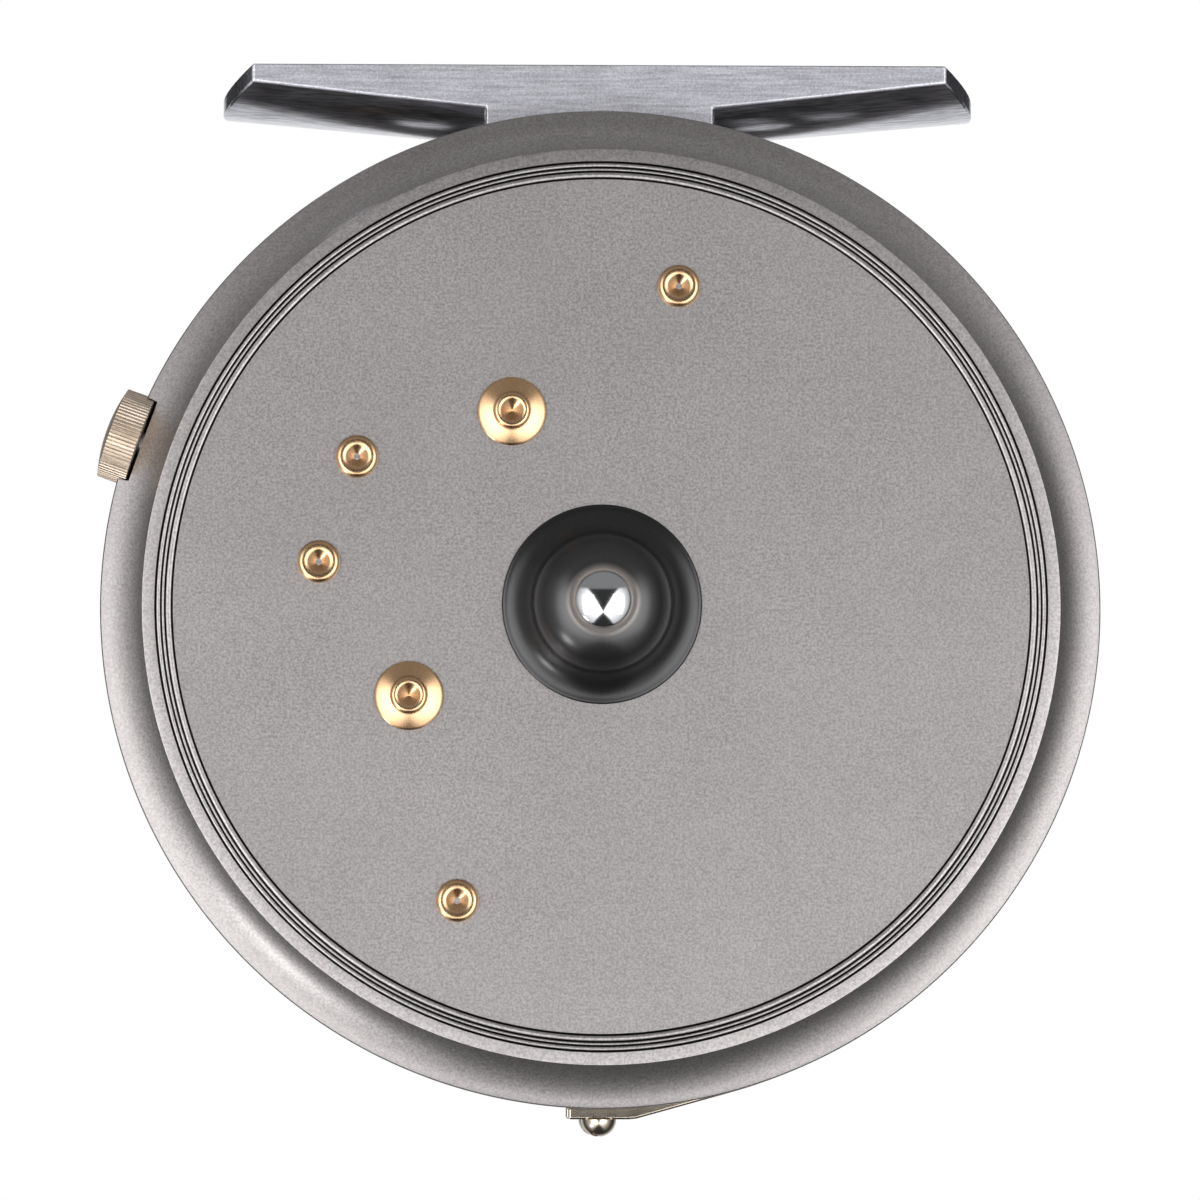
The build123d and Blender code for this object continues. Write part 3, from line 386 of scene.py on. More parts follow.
class Finish:
    """A material with the patterns that metal and resin need, all in the object's own coordinates."""

    def __init__(self, name, metallic=1.0, **fixed):
        self.material = bpy.data.materials.new(name)
        self.material.use_nodes = True
        tree = self.material.node_tree
        self.shader = tree.nodes["Principled BSDF"]
        self.shader.inputs["Metallic"].default_value = metallic
        for key, value in fixed.items():
            self.shader.inputs[key.replace("_", " ")].default_value = value
        self.base = Reading(tree)
        self.place = self.base.node("ShaderNodeTexCoord", output=3)
        self.bumps = None

    def place_part(self, axis):
        """One coordinate of the place, in metres."""
        return self.base.node("ShaderNodeSeparateXYZ", output=axis, n0=self.place)

    def noise(self, size, detail=2.0, stretch=None, roughness=0.5):
        """Soft noise from 0 to 1 whose lumps are about that many millimetres across."""
        place = self.place
        if stretch:
            place = self.base.node("ShaderNodeMapping", Vector=place, Scale=stretch)
        sockets = {"Scale": 1 / (size * MM), "Detail": detail, "Roughness": roughness}
        return self.base.node("ShaderNodeTexNoise", Vector=place, **sockets)

    def distance(self):
        """Distance in metres from the spool's axis."""
        settings = {"Vector": self.place, "Location": (0, 0, -AXIS_Z * MM), "Scale": (1, 0, 1)}
        across = self.base.node("ShaderNodeMapping", **settings)
        return self.base.node("ShaderNodeVectorMath", {"operation": "LENGTH"}, output=1, n0=across)

    def rings(self, pitch):
        """Turned lines round the spool's axis, from 0 to 1, uneven as a tool leaves them."""
        evenness = 0.3
        away = self.distance() * (1 / (pitch * MM))
        line = {"noise_dimensions": "1D"}
        uneven = self.base.node("ShaderNodeTexNoise", line, W=away, Scale=1.0, Detail=3.0)
        wave = self.base.maths("SINE", away * FULL_TURN).between(0.5, 1.0) * 0.5
        return wave * evenness + uneven * (1 - evenness)

    def bump(self, height, strength, depth):
        """Adds a relief of that depth in millimetres."""
        sockets = {"Height": height, "Strength": strength, "Distance": depth * MM}
        if self.bumps:
            sockets["Normal"] = self.bumps
        self.bumps = self.base.node("ShaderNodeBump", **sockets)

    def done(self, shade, roughness):
        feeds = {"Base Color": shade, "Roughness": roughness}
        if self.bumps:
            feeds["Normal"] = self.bumps
        for key, reading in feeds.items():
            self.base.tree.links.new(reading.socket, self.shader.inputs[key])
        return self.material


def satin_aluminium():
    """Blasted and anodised grey of the frame, with painted shade in the turned lines and painted shade darkening
    the rim.
    """
    finish = Finish("satin_aluminium", metallic=0.9)
    grain = finish.noise(0.19, detail=2.0, roughness=0.6)
    cloud = finish.noise(9.0, detail=3.0)
    blotches = grain.stepped(0.25, 0.75) * 0.75 + cloud * 0.25
    shade = blotches.mixed(colour(150, 145, 145), colour(199, 195, 194))
    depth, away, lines = finish.place_part(1), finish.distance(), None
    outside = depth.stepped((BACK + 0.5) * MM, (BACK + 0.4) * MM)
    # Painted shade: a dark line at each groove's radius on the back face, where shade falls in the grooves.
    for radius in GROOVES:
        line = away.maths("ABSOLUTE", away - radius * MM).stepped(0.12 * MM, 0.06 * MM)
        lines = lines + line if lines else line
    shade = (lines * outside).mixed(shade, colour(44, 42, 42))
    # Painted shade: the back of the rim is mixed about a third of the way towards a darker grey.
    rim = away.stepped((RIM - 2.1) * MM, (RIM - 0.7) * MM)
    painted_rim_shade = rim * depth.stepped((BACK + 4.0) * MM, (BACK + 2.6) * MM)
    shade = (painted_rim_shade * 0.36).mixed(shade, colour(112, 108, 107))
    finish.bump(grain, 0.35, 0.008)
    return finish.done(shade, grain.between(0.36, 0.46))


def spool_aluminium():
    """Turned and anodised aluminium of the spool."""
    finish = Finish("spool_aluminium", metallic=0.9)
    lines = finish.rings(0.22)
    grain = finish.noise(0.2, detail=2.0)
    shade = lines.mixed(colour(158, 155, 153), colour(178, 175, 173))
    finish.bump(lines, 0.3, 0.01)
    finish.bump(grain, 0.15, 0.006)
    return finish.done(shade, lines.between(0.30, 0.42))


def polished_aluminium():
    """Foot: polished underneath, with its upright sides left satin."""
    finish = Finish("polished_aluminium", metallic=1.0)
    facing = finish.base.node("ShaderNodeTexCoord", output=1)
    sideways = finish.base.node("ShaderNodeSeparateXYZ", output=1, n0=facing)
    upright = facing.maths("ABSOLUTE", sideways).stepped(0.63, 0.72)
    lines = finish.noise(0.22, detail=3.0, stretch=(0.06, 1.0, 1.0))
    smear = finish.noise(5.0, detail=2.0)
    polished = lines.stepped(0.3, 0.7).mixed(colour(164, 165, 174), colour(226, 227, 234))
    rough = (lines * 0.5 + finish.noise(0.16) * 0.5).stepped(0.2, 0.8)
    satin = rough.mixed(colour(160, 160, 167), colour(230, 230, 238))
    finish.bump(lines, 0.3, 0.006)
    gloss = (lines * 0.6 + smear * 0.4).between(0.14, 0.26)
    return finish.done(upright.mixed(polished, satin), gloss + upright * 0.26)


def black_boss():
    """Black anodised and waxed boss, with a painted sheen lightening the crown and a light ring round the
    spindle's end.
    """
    finish = Finish("black_boss", metallic=0.6, Coat_Weight=0.3, Coat_Roughness=0.22)
    lines = finish.rings(0.12)
    grain = finish.noise(0.1, detail=2.0)
    away = finish.distance()
    # The turned lines and grain are the coat's own; the lighter crown inside the bend is a painted sheen.
    grain_and_painted_sheen = lines * 0.25 + grain * 0.25 + away.stepped(5.6 * MM, 3.2 * MM) * 0.5
    # A light, warm grey ring round the spindle's end.
    light_ring = away.stepped(3.1 * MM, 2.35 * MM)
    shade = light_ring.mixed(grain_and_painted_sheen.mixed(colour(32, 32, 34), colour(74, 73, 74)), colour(168, 160, 154))
    finish.bump(lines, 0.12, 0.004)
    return finish.done(shade, grain.between(0.25, 0.33))


def knurled_silver():
    """Nickel silver of the knob, dulled and worn unevenly across its fine knurl."""
    finish = Finish("knurled_silver", metallic=0.9)
    finish.place = finish.base.node("ShaderNodeMapping", Vector=finish.place, Rotation=(0, KNOB_ANGLE, 0))
    streaks = finish.noise(0.3, detail=3.0, stretch=(0.12, 1.0, 1.0))
    patches = finish.noise(0.9, detail=3.0)
    worn = streaks.stepped(0.3, 0.7) * 0.6 + patches * 0.4
    shade = worn.mixed(colour(186, 169, 151), colour(236, 220, 202))
    finish.bump(streaks, 0.5, 0.03)
    return finish.done(shade, patches.between(0.38, 0.54))


def metal(name, low, high, roughness, pattern):
    """Plain metal whose colour and gloss wander with a fine grain and with slower clouds."""
    sizes, detail, shares, relief = pattern
    finish = Finish(name, metallic=1.0)
    grain, cloud = [finish.noise(size, detail=detail) for size in sizes]
    tone, gloss = [grain * share + cloud * (1 - share) for share in shares]
    finish.bump(grain, *relief)
    return finish.done(tone.mixed(colour(*low), colour(*high)), gloss.between(*roughness))


def grip_resin():
    """Dark resin with faint streaks along the grip, polished by the hand."""
    finish = Finish("grip_resin", metallic=0.0, Coat_Weight=0.5, Coat_Roughness=0.08)
    streaks = finish.noise(1.2, detail=4.0, stretch=(1.0, 0.12, 1.0))
    specks = finish.noise(0.25, detail=2.0)
    shade = (streaks * 0.8 + specks * 0.2).mixed(colour(22, 16, 13), colour(66, 42, 28))
    finish.bump(specks, 0.08, 0.004)
    return finish.done(shade, streaks.between(0.22, 0.34))


# Sizes of grain and clouds, their detail, the grain's share in colour and gloss, and its relief.
STEEL = ((0.12, 2.0), 2.0, (0.4, 0.0), (0.08, 0.003))
SILVER = ((0.15, 2.5), 3.0, (0.4, 0.0), (0.12, 0.005))
BRASS = ((0.12, 1.6), 3.0, (0.35, 0.5), (0.15, 0.006))
METALS = {
    "polished_steel": ((196, 197, 200), (222, 223, 226), (0.08, 0.16), STEEL),
    "hard_steel": ((120, 121, 126), (150, 151, 156), (0.25, 0.4), STEEL),
    "spring_steel": ((86, 94, 112), (118, 124, 138), (0.2, 0.32), STEEL),
    "nickel_silver": ((186, 174, 158), (212, 202, 188), (0.16, 0.32), SILVER),
    "brass": ((206, 165, 120), (230, 193, 155), (0.2, 0.34), BRASS),
    "bronze": ((140, 88, 46), (176, 120, 70), (0.3, 0.45), BRASS),
}
FINISHES = {name: metal(name, *values) for name, values in METALS.items()}
for build in (satin_aluminium, polished_aluminium, spool_aluminium, black_boss, knurled_silver, grip_resin):
    FINISHES[build.__name__] = build()


def dress(piece, slot, body, *nodes, finish=None):
    """Gives a new piece its finish, its body and the nodes that it stands for."""
    piece.data.materials.clear()
    piece.data.materials.append(FINISHES[finish or slot])
    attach(piece, body)
    if nodes:
        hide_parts(*nodes)
    return piece


# ---- Frame ----
COVE_FOOT = BACK + 2.4
RIM_FRONT = -4.6
RING_BACK = 8.6
BORE = RIM - 3.9
RECESS = BORE - 2.0
RECESS_FRONT = -7.0
PLATE_INSIDE = BACK + 1.8
BLOCK_DEPTH = 3.1
SPINDLE_HOLE = 2.6
KNOB_RADIUS = 3.75
KNOB_SEAT = RIM - 0.8


def plate_lines():
    """Profile of the turned lines: rounded beads between sharp grooves."""
    depth, half = 0.16, 0.1
    points = [(GROOVES[0] - half, BACK), (GROOVES[0], BACK + depth)]
    for inner, outer in zip(GROOVES, GROOVES[1:]):
        points += arc((inner, BACK + depth), (outer, BACK + depth), 0.02 - depth, 8)
        points.append((outer, BACK + depth))
    return points + [(GROOVES[-1] + half, BACK)]


def frame_dish():
    """Back plate and rear rim in one, with the knob's pocket cut in."""
    cove_start, cove_end = (PLATE_EDGE, BACK + 0.11), (RIM - 0.28, COVE_FOOT)
    profile = [(SPINDLE_HOLE, BACK), (20.0, BACK), (34.0, BACK)] + plate_lines()
    profile += [(PLATE_EDGE - 0.12, BACK + 0.05), (PLATE_EDGE - 0.03, BACK + 0.065), cove_start]
    profile += arc(cove_start, cove_end, 0.42, 14)
    profile += [cove_end, (RIM - 0.1, COVE_FOOT + 0.06), (RIM - 0.02, COVE_FOOT + 0.16)]
    profile += [(RIM, COVE_FOOT + 0.3), (RIM, RIM_FRONT - 0.15), (RIM - 0.15, RIM_FRONT)]
    profile += [(BORE + 0.12, RIM_FRONT), (BORE, RIM_FRONT - 0.12), (BORE, RECESS_FRONT)]
    profile += [(RECESS, RECESS_FRONT), (RECESS, PLATE_INSIDE), (SPINDLE_HOLE, PLATE_INSIDE)]
    dish = turned("frame_dish", profile, steps=320)
    pocket = cylinder("pocket", KNOB_RADIUS + 0.15, KNOB_SEAT - 0.3, RIM + 3, (0, 0))
    settle(pocket, at(0, KNOB.y, AXIS_Z) @ along_spoke(KNOB_ANGLE))
    return smooth(cut(dish, pocket))


def front_ring():
    profile = [(BORE, RING_BACK + 0.15), (BORE + 0.15, RING_BACK)]
    profile += [(RIM - 0.15, RING_BACK), (RIM, RING_BACK + 0.15)]
    profile += [(RIM, FRONT - 0.5), (RIM - 0.08, FRONT - 0.22), (RIM - 0.3, FRONT - 0.05), (RIM - 0.6, FRONT)]
    profile += [(BORE + 0.3, FRONT), (BORE + 0.08, FRONT - 0.08), (BORE, FRONT - 0.3)]
    return smooth(turned("frame_ring", profile, steps=320))


def pillars():
    radius, low, high = 2.0, RIM_FRONT - 0.3, RING_BACK + 0.3
    places = [polar(RIM - radius, math.radians(angle)) for angle in (30, 150, 215, 325)]
    ring = [cylinder("pillar", radius, low, high, place, 48) for place in places]
    return smooth(joined("frame_pillars", ring))


def foot_block():
    """Block that fills the cage between the rims under the foot."""
    half, inner, outer = math.radians(13), RIM - BLOCK_DEPTH, RIM
    low, high = RIM_FRONT - 0.2, RING_BACK + 0.2
    x, z = polar(1, math.pi / 2 - half)
    along = Vector((x, 0, z - AXIS_Z))
    corners = [(inner, low), (outer, low), (outer, high), (inner, high)]
    axis = Vector((0, 0, AXIS_Z))
    piece = start_face("foot_block", [axis + along * r + Vector((0, y, 0)) for r, y in corners])
    bpy.ops.mesh.spin(steps=24, angle=2 * half, center=(0, 0, AXIS_Z * MM), axis=(0, 1, 0))
    finish_edit()
    return soften(piece, 0.15)


def guard_block():
    """Block between the rims that the guard's screws go into."""
    half = 3
    bottom = AXIS_Z - math.sqrt(RIM**2 - half**2)
    low, high = (-half, RIM_FRONT - 0.2, bottom), (half, RING_BACK + 0.2, bottom + BLOCK_DEPTH)
    return soften(block("guard_block", low, high), 0.15)


def build_frame():
    dress(frame_dish(), "satin_aluminium", "reel", "frame")
    for piece in (front_ring(), pillars(), foot_block(), guard_block()):
        dress(piece, "satin_aluminium", "reel")


# ---- Boss and spindle ----
CHANNEL_FLOOR = 12.9


def sloped_arc(start, end, first, last, count):
    """Points of an arc whose slope goes from the first angle to the last, in degrees."""
    a, b = math.radians(first), math.radians(last)
    points = []
    for n in range(1, count):
        slope = a + (b - a) * n / count
        share = (math.sin(slope) - math.sin(a)) / (math.sin(b) - math.sin(a))
        rise = (math.cos(a) - math.cos(slope)) / (math.cos(a) - math.cos(b))
        points.append((start[0] + (end[0] - start[0]) * share, start[1] + (end[1] - start[1]) * rise))
    return points


def hub_boss():
    """A skirt that steepens to the bend, then a crown that flattens to the crest."""
    radius, top, _ = round_box("hub_boss")
    bore, bend_radius, crest_radius = 2.24, 5.6, 2.6
    flare, steep, crown = 5, 74, 8
    a, b = math.radians(flare), math.radians(steep)
    drop = (radius - bend_radius) / (math.sin(b) - math.sin(a)) * (math.cos(a) - math.cos(b))
    skirt, bend, crest = (radius - 0.12, BACK - 0.225), (bend_radius, BACK - 0.22 - drop), (crest_radius, top)
    profile = [(bore, BACK), (radius, BACK), (radius, BACK - 0.12), (radius - 0.05, BACK - 0.19), skirt]
    profile += sloped_arc(skirt, bend, flare, steep, 20) + [bend]
    profile += sloped_arc(bend, crest, steep, crown, 20) + [crest]
    profile += [(bore + 0.12, top + 0.02), (bore, top + 0.12)]
    return smooth(turned("boss", profile, steps=192))


def spindle():
    """Shaft with its domed tail end, the collar inside the plate and the groove for the latch."""
    _, tip, end = round_box("spindle")
    tail_radius, rise = 2.19, 0.7
    shaft, neck, collar, shoulder = 2.6, 1.9, 6.5, 4.0
    ball = (tail_radius**2 + rise**2) / (2 * rise)
    spread = math.asin(tail_radius / ball)
    slopes = [spread * n / 14 for n in range(15)]
    profile = [(ball * math.sin(slope), tip + ball * (1 - math.cos(slope))) for slope in slopes]
    profile += [(2.21, tip + rise + 0.04), (2.21, -12.8), (collar, -12.8), (collar, -11.6)]
    profile += [(shoulder, -11.6), (shoulder, -10.4), (shaft, -10.4), (shaft, CHANNEL_FLOOR)]
    profile += [(neck, CHANNEL_FLOOR), (neck, 14.3), (shaft, 14.3)]
    profile += [(shaft, end - 0.5), (2.45, end - 0.15), (2.1, end), (0, end)]
    return smooth(turned("spindle_shaft", profile))


# ---- Rivets ----
PLAIN_RIVET = 1.72
PAWL_RIVET = 1.5
PAWL_COLLAR = (2.2, -9.6)
PAWL_PIVOT = 1.05
SPRING_POST = 1.5
GUIDE_SHANK = 0.9


def rivet_post(name, centre, seat, radius, steps):
    """Spun rivet end: a rolled lip round a conical dimple, with its shank and inner steps."""
    shank, dimple, top = 0.9, 0.87, seat - 0.55
    edge, crest, side = (dimple, top + 0.1), ((dimple + radius) / 2, top), (radius, seat - 0.18)
    profile = [(0, top + 0.72), (0.08, top + 0.68), (dimple - 0.06, top + 0.16), edge]
    profile += arc(edge, crest, -0.03, 4) + [crest]
    profile += arc(crest, side, -0.1, 6) + [side, (radius, seat), (shank, seat)]
    level = PLATE_INSIDE
    for step, end in steps:
        if step > profile[-1][0]:
            profile.append((shank, level))
        profile += [(step, level), (step, end)]
        level = end
    return smooth(turned(name, profile + [(0, level)], centre, steps=64))


def post_washer(node, name):
    (radius, top, _), hole = round_box(node), 0.95
    edge = (radius - 0.06, BACK - 0.26)
    profile = [(hole, BACK), (radius - 0.04, BACK), (radius, BACK - 0.05), (radius, BACK - 0.2), edge]
    profile += arc(edge, (PAWL_RIVET, top), 0.03, 8) + [(PAWL_RIVET, top), (hole, top)]
    return smooth(turned(name, profile, middle_xz(node)))


def build_rivets():
    for end in ("upper", "lower"):
        washer, pawl, spring = "post_washer_" + end, "pawl_post_" + end, "spring_post_" + end
        dress(post_washer(washer, "washer_" + end), "brass", "reel", washer)
        steps = [PAWL_COLLAR, (PAWL_PIVOT, box_mm(pawl)[1].y)]
        seat = box_mm(washer)[0].y
        post = rivet_post("pawl_rivet_" + end, middle_xz(pawl), seat, PAWL_RIVET, steps)
        dress(post, "brass", "reel", pawl)
        steps = [(SPRING_POST, box_mm(spring)[1].y)]
        post = rivet_post("spring_rivet_" + end, middle_xz(spring), BACK, PLAIN_RIVET, steps)
        dress(post, "brass", "reel", spring)
    low, high = box_mm("guide_rivets")
    centres = ((high.x - PLAIN_RIVET, high.z - PLAIN_RIVET), (low.x + PLAIN_RIVET, low.z + PLAIN_RIVET))
    steps = [(GUIDE_SHANK, high.y)]
    pair = [rivet_post("guide_rivet", centre, BACK, PLAIN_RIVET, steps) for centre in centres]
    dress(joined("guide_rivet_pair", pair), "brass", "reel", "guide_rivets")


# ---- Foot ----
FOOT_LOW, FOOT_HIGH = box_mm("reel_foot")
FOOT_HALF, FOOT_SIDE, FOOT_TOP = FOOT_HIGH
SADDLE = 13.0
PEDESTAL = 9.35
ARM_ROOT = (3.6, 1.95)
ARM_TIP = (1.2, 2.4)
FOOT_SCREW = 2.4


def cylinder_along_x(profile, steps=96):
    """Turns a profile of (radius, place along X) round the X axis."""
    tool = turned("tool", profile, (0, 0), steps)
    return settle(tool, Matrix.Rotation(-math.pi / 2, 4, "Z"))


def foot_arm():
    """One arm, left too wide and tall: a block trimmed to the round underside that rises to the tip."""
    ends = []
    for x, (side, belly) in ((PEDESTAL, ARM_ROOT), (FOOT_HALF, ARM_TIP)):
        radius = (FOOT_SIDE**2 + belly**2) / (2 * belly)
        ends.append((x, FOOT_TOP - side - belly + radius, radius))
    (x0, z0, r0), (x1, z1, r1) = ends
    flare = (r1 - r0) / math.hypot(x1 - x0, z1 - z0)
    low, high = (PEDESTAL - 2, -FOOT_SIDE - 1, FOOT_TOP - 9), (FOOT_HALF + 1, FOOT_SIDE + 1, FOOT_TOP + 1)
    arm = block("arm", low, high)
    before, beyond = 15, 45
    cone = [(0, -before), (r0 - before * flare, -before), (r0 + beyond * flare, beyond), (0, beyond)]
    tool = cylinder_along_x(cone)
    settle(tool, at(x0, 0, z0) @ Matrix.Rotation(-math.atan2(z1 - z0, x1 - x0), 4, "Y"))
    return cut(arm, tool, "INTERSECT")


def foot_plan():
    """Tall block with the foot's outline from above."""
    end, side = FOOT_HALF, FOOT_SIDE
    corner = end - 2.65
    outline = [(-corner, -side), (corner, -side)]
    outline += arc((corner, -side), (corner, side), corner - end, 16)
    outline += [(corner, side), (-corner, side)]
    outline += arc((-corner, side), (-corner, -side), corner - end, 16)
    plan = start_face("plan", [(x, y, FOOT_LOW.z - 2) for x, y in outline])
    draw_out(0, 0, 12)
    finish_edit()
    return plan


def foot_screw_places():
    low, high = box_mm("foot_screws")
    return (low.x + FOOT_SCREW, high.x - FOOT_SCREW), high.z


def reel_foot():
    low, high = (-PEDESTAL, -FOOT_SIDE - 1.5, FOOT_LOW.z - 1), (PEDESTAL, FOOT_SIDE + 1.5, FOOT_TOP + 1.5)
    foot = block("foot", low, high)
    arm = foot_arm()
    other = settle(copied(arm), Matrix.Rotation(math.pi, 4, "Z"))
    cut(foot, arm, "UNION")
    cut(foot, other, "UNION")
    cut(foot, foot_plan(), "INTERSECT")
    saddle = cylinder_along_x([(0, -40), (SADDLE, -40), (SADDLE, 40), (0, 40)], 160)
    cut(foot, settle(saddle, at(0, 0, SADDLE)))
    cut(foot, cylinder("barrel", RIM + 0.03, -10, 10, steps=512))
    places, level = foot_screw_places()
    for x in places:
        seat = cylinder("seat", FOOT_SCREW + 0.06, -6, 0.1, (0, 0), 64)
        settle(seat, at(x, 0, level) @ Matrix.Rotation(-math.pi / 2, 4, "X"))
        cut(foot, seat)
    edit(foot)
    select_all()
    bpy.ops.mesh.remove_doubles(threshold=0.02 * MM)
    close_edit()
    return soften(foot, 0.18, 3, 24, clamp=False)


def slotted_head(name, radius, slot_width, depth, edge=0.12):
    """A flat screw head round the Y axis, its top at y = 0 facing -Y, slotted."""
    profile = [(0, 0), (radius - edge, 0), (radius - edge * 0.3, edge * 0.3)]
    profile += [(radius, edge), (radius, depth), (0, depth)]
    head = turned(name, profile, (0, 0), steps=72)
    half = slot_width / 2
    groove = block("groove", (-radius - 1, -1, -half), (radius + 1, depth * 0.45, half))
    return flat_faces(cut(head, groove))


def foot_screws():
    places, level = foot_screw_places()
    up = Matrix.Rotation(-math.pi / 2, 4, "X")
    heads = []
    for x, turn in zip(places, (0.5, -0.25)):
        head = slotted_head("head", FOOT_SCREW, 0.45, 1.2)
        heads.append(settle(head, at(x, 0, level) @ Matrix.Rotation(turn, 4, "Z") @ up))
    return joined("foot_screw_heads", heads)


# ---- Regulator knob ----
def crown_level(crown_radius, distance):
    """Height over the centre of a round crown, at that distance from its axis."""
    return math.sqrt(crown_radius**2 - distance**2)


def regulator_knob():
    """Knurled knob: a notched rim drawn out along its axis and crowned."""
    radius, wall, crown, notch, count = KNOB_RADIUS, 2.35, 0.55, 0.07, 76
    clear_selection()
    bpy.ops.mesh.primitive_circle_add(vertices=count * 4, radius=radius * MM, fill_type="NGON")
    knob = bpy.context.object
    knob.name = knob.data.name = "rim_knob"
    edit(knob)
    pick_vertices(knob, lambda vertex: vertex.index % 4 == 0)
    bpy.ops.transform.resize(value=(1 - notch / radius, 1 - notch / radius, 1))
    select_all()
    crown_radius = (radius**2 + crown**2) / (2 * crown)
    draw_out(0, 0, wall)
    rings = 7
    before = 1.0
    for n in range(1, rings):
        share = math.cos(n / rings * math.pi / 2)
        level = crown_level(crown_radius, radius * share) - crown_level(crown_radius, radius * before)
        draw_out(0, 0, level)
        bpy.ops.transform.resize(value=(share / before, share / before, 1))
        before = share
    finish_edit()
    place = at(0, KNOB.y, AXIS_Z) @ along_spoke(KNOB_ANGLE) @ at(0, KNOB_SEAT, 0)
    settle(knob, place @ Matrix.Rotation(-math.pi / 2, 4, "X"))
    return smooth(knob, math.radians(25))


# ---- Line guard ----
GUARD_LOW, GUARD_HIGH = box_mm("line_guard")
GUARD_REACH = 2.7
GUARD_RUN = RIM - 0.35
GUARD_WALL = 1.0
LEG_WIDTH = 2.0
BAR_ANGLE = math.radians(304)
BAR_RADIUS = 1.15
BAR_INSET = 0.7


def guard_line():
    """Middle line of a leg, from the lug's end to the bar."""
    level, steps = GUARD_LOW.z + GUARD_WALL / 2 - AXIS_Z, 16
    points = [(GUARD_LOW.x, level), (GUARD_REACH - 0.3, level), (GUARD_REACH + 0.3, level + 0.06)]
    touch = math.atan2(level, GUARD_REACH) + math.acos(GUARD_RUN / math.hypot(GUARD_REACH, level)) + FULL_TURN
    for n in range(steps + 1):
        angle = touch + (BAR_ANGLE - touch) * n / steps
        points.append((GUARD_RUN * math.cos(angle), GUARD_RUN * math.sin(angle)))
    return points


def guard_leg(low, high):
    leg = start_line("leg", [(x, low, AXIS_Z + z) for x, z in guard_line()])
    select_all()
    draw_out(0, high - low, 0)
    close_edit()
    apply_modifier(leg, "SOLIDIFY", thickness=GUARD_WALL * MM, offset=0.0, use_even_offset=True)
    edit(leg)
    finish_edit()
    return soften(leg, 0.22, 3, 40)


def line_guard():
    low, high = GUARD_LOW.y, GUARD_HIGH.y
    legs = [guard_leg(low, low + LEG_WIDTH), guard_leg(high - LEG_WIDTH, high)]
    r, edge = BAR_RADIUS, 0.25
    profile = [(0, low), (r - edge, low), (r - edge * 0.3, low + edge * 0.3), (r, low + edge)]
    profile += [(r, high - edge), (r - edge * 0.3, high - edge * 0.3), (r - edge, high), (0, high)]
    bar = smooth(turned("bar", profile, polar(GUARD_RUN - BAR_INSET, BAR_ANGLE), steps=48))
    return joined("guard", legs + [bar])


def guard_screws():
    """Round heads under the guard's lugs, slotted."""
    low, high = box_mm("guard_screws")
    radius, tall, half_slot = 1.45, 1.4, 0.22
    down = Matrix.Rotation(math.pi / 2, 4, "X")
    heads = []
    for y, turn in ((low.y + radius, 0.9), (high.y - radius, 0.2)):
        profile = [(0, -tall)] + arc((0, -tall), (radius, 0), -0.42, 12)
        head = turned("head", profile + [(radius, 0), (radius - 0.1, 0.1), (0, 0.1)], (0, 0), steps=72)
        cut(head, block("groove", (-3, -3, -half_slot), (3, 0.45 - tall, half_slot)))
        heads.append(settle(smooth(head), at(0, y, GUARD_LOW.z) @ Matrix.Rotation(turn, 4, "Z") @ down))
    return joined("guard_screw_heads", heads)


# ---- Spool ----
REAR_BACK = SPOOL_LOW.y
REAR_FRONT = REAR_BACK + 1.0
FRONT_BACK = 11.4
FRONT_FACE = FRONT_BACK + 0.9
LIP = FRONT_FACE + 0.3
ARBOR = 12.0
HUB_BOSS = 9.6
FLANGE = SPOOL_HIGH.x
POST_BASE = 4.4
# Inset from the flange's edge, radius, count and first angle of each row of holes.
HOLE_ROWS = ((4.0, 2.3, 24, 0.0), (9.6, 1.75, 24, 7.5), (14.8, 1.5, 12, 0.0), (19.2, 1.2, 12, 15.0))

LATCH_ANGLE = math.atan2(GRIP[1] - AXIS_Z, GRIP[0]) + math.pi / 2
LATCH_TRAVEL = 1.6
LATCH_SCREW = 1.34
CHANNEL_END = 8.7


def hole_cutters(low, high, clear_of):
    """Double-countersunk cutters for the rows of holes in one flange."""
    tools, edge = [], 0.18
    for inset, radius, count, first in HOLE_ROWS:
        flared = radius + edge + 1
        profile = [(0, low - 1), (flared, low - 1), (radius, low + edge)]
        profile += [(radius, high - edge), (flared, high + 1), (0, high + 1)]
        distance = FLANGE - inset
        pattern = turned("hole", profile, polar(distance, math.radians(first)), steps=40)
        for n in range(count):
            angle = math.radians(first + 360 * n / count)
            place = polar(distance, angle)
            if all(math.dist(place, spot) > radius + size + 0.6 for spot, size in clear_of):
                tools.append(copied(pattern, turn=math.radians(first) - angle))
        bpy.data.objects.remove(pattern)
    return joined("holes", tools)


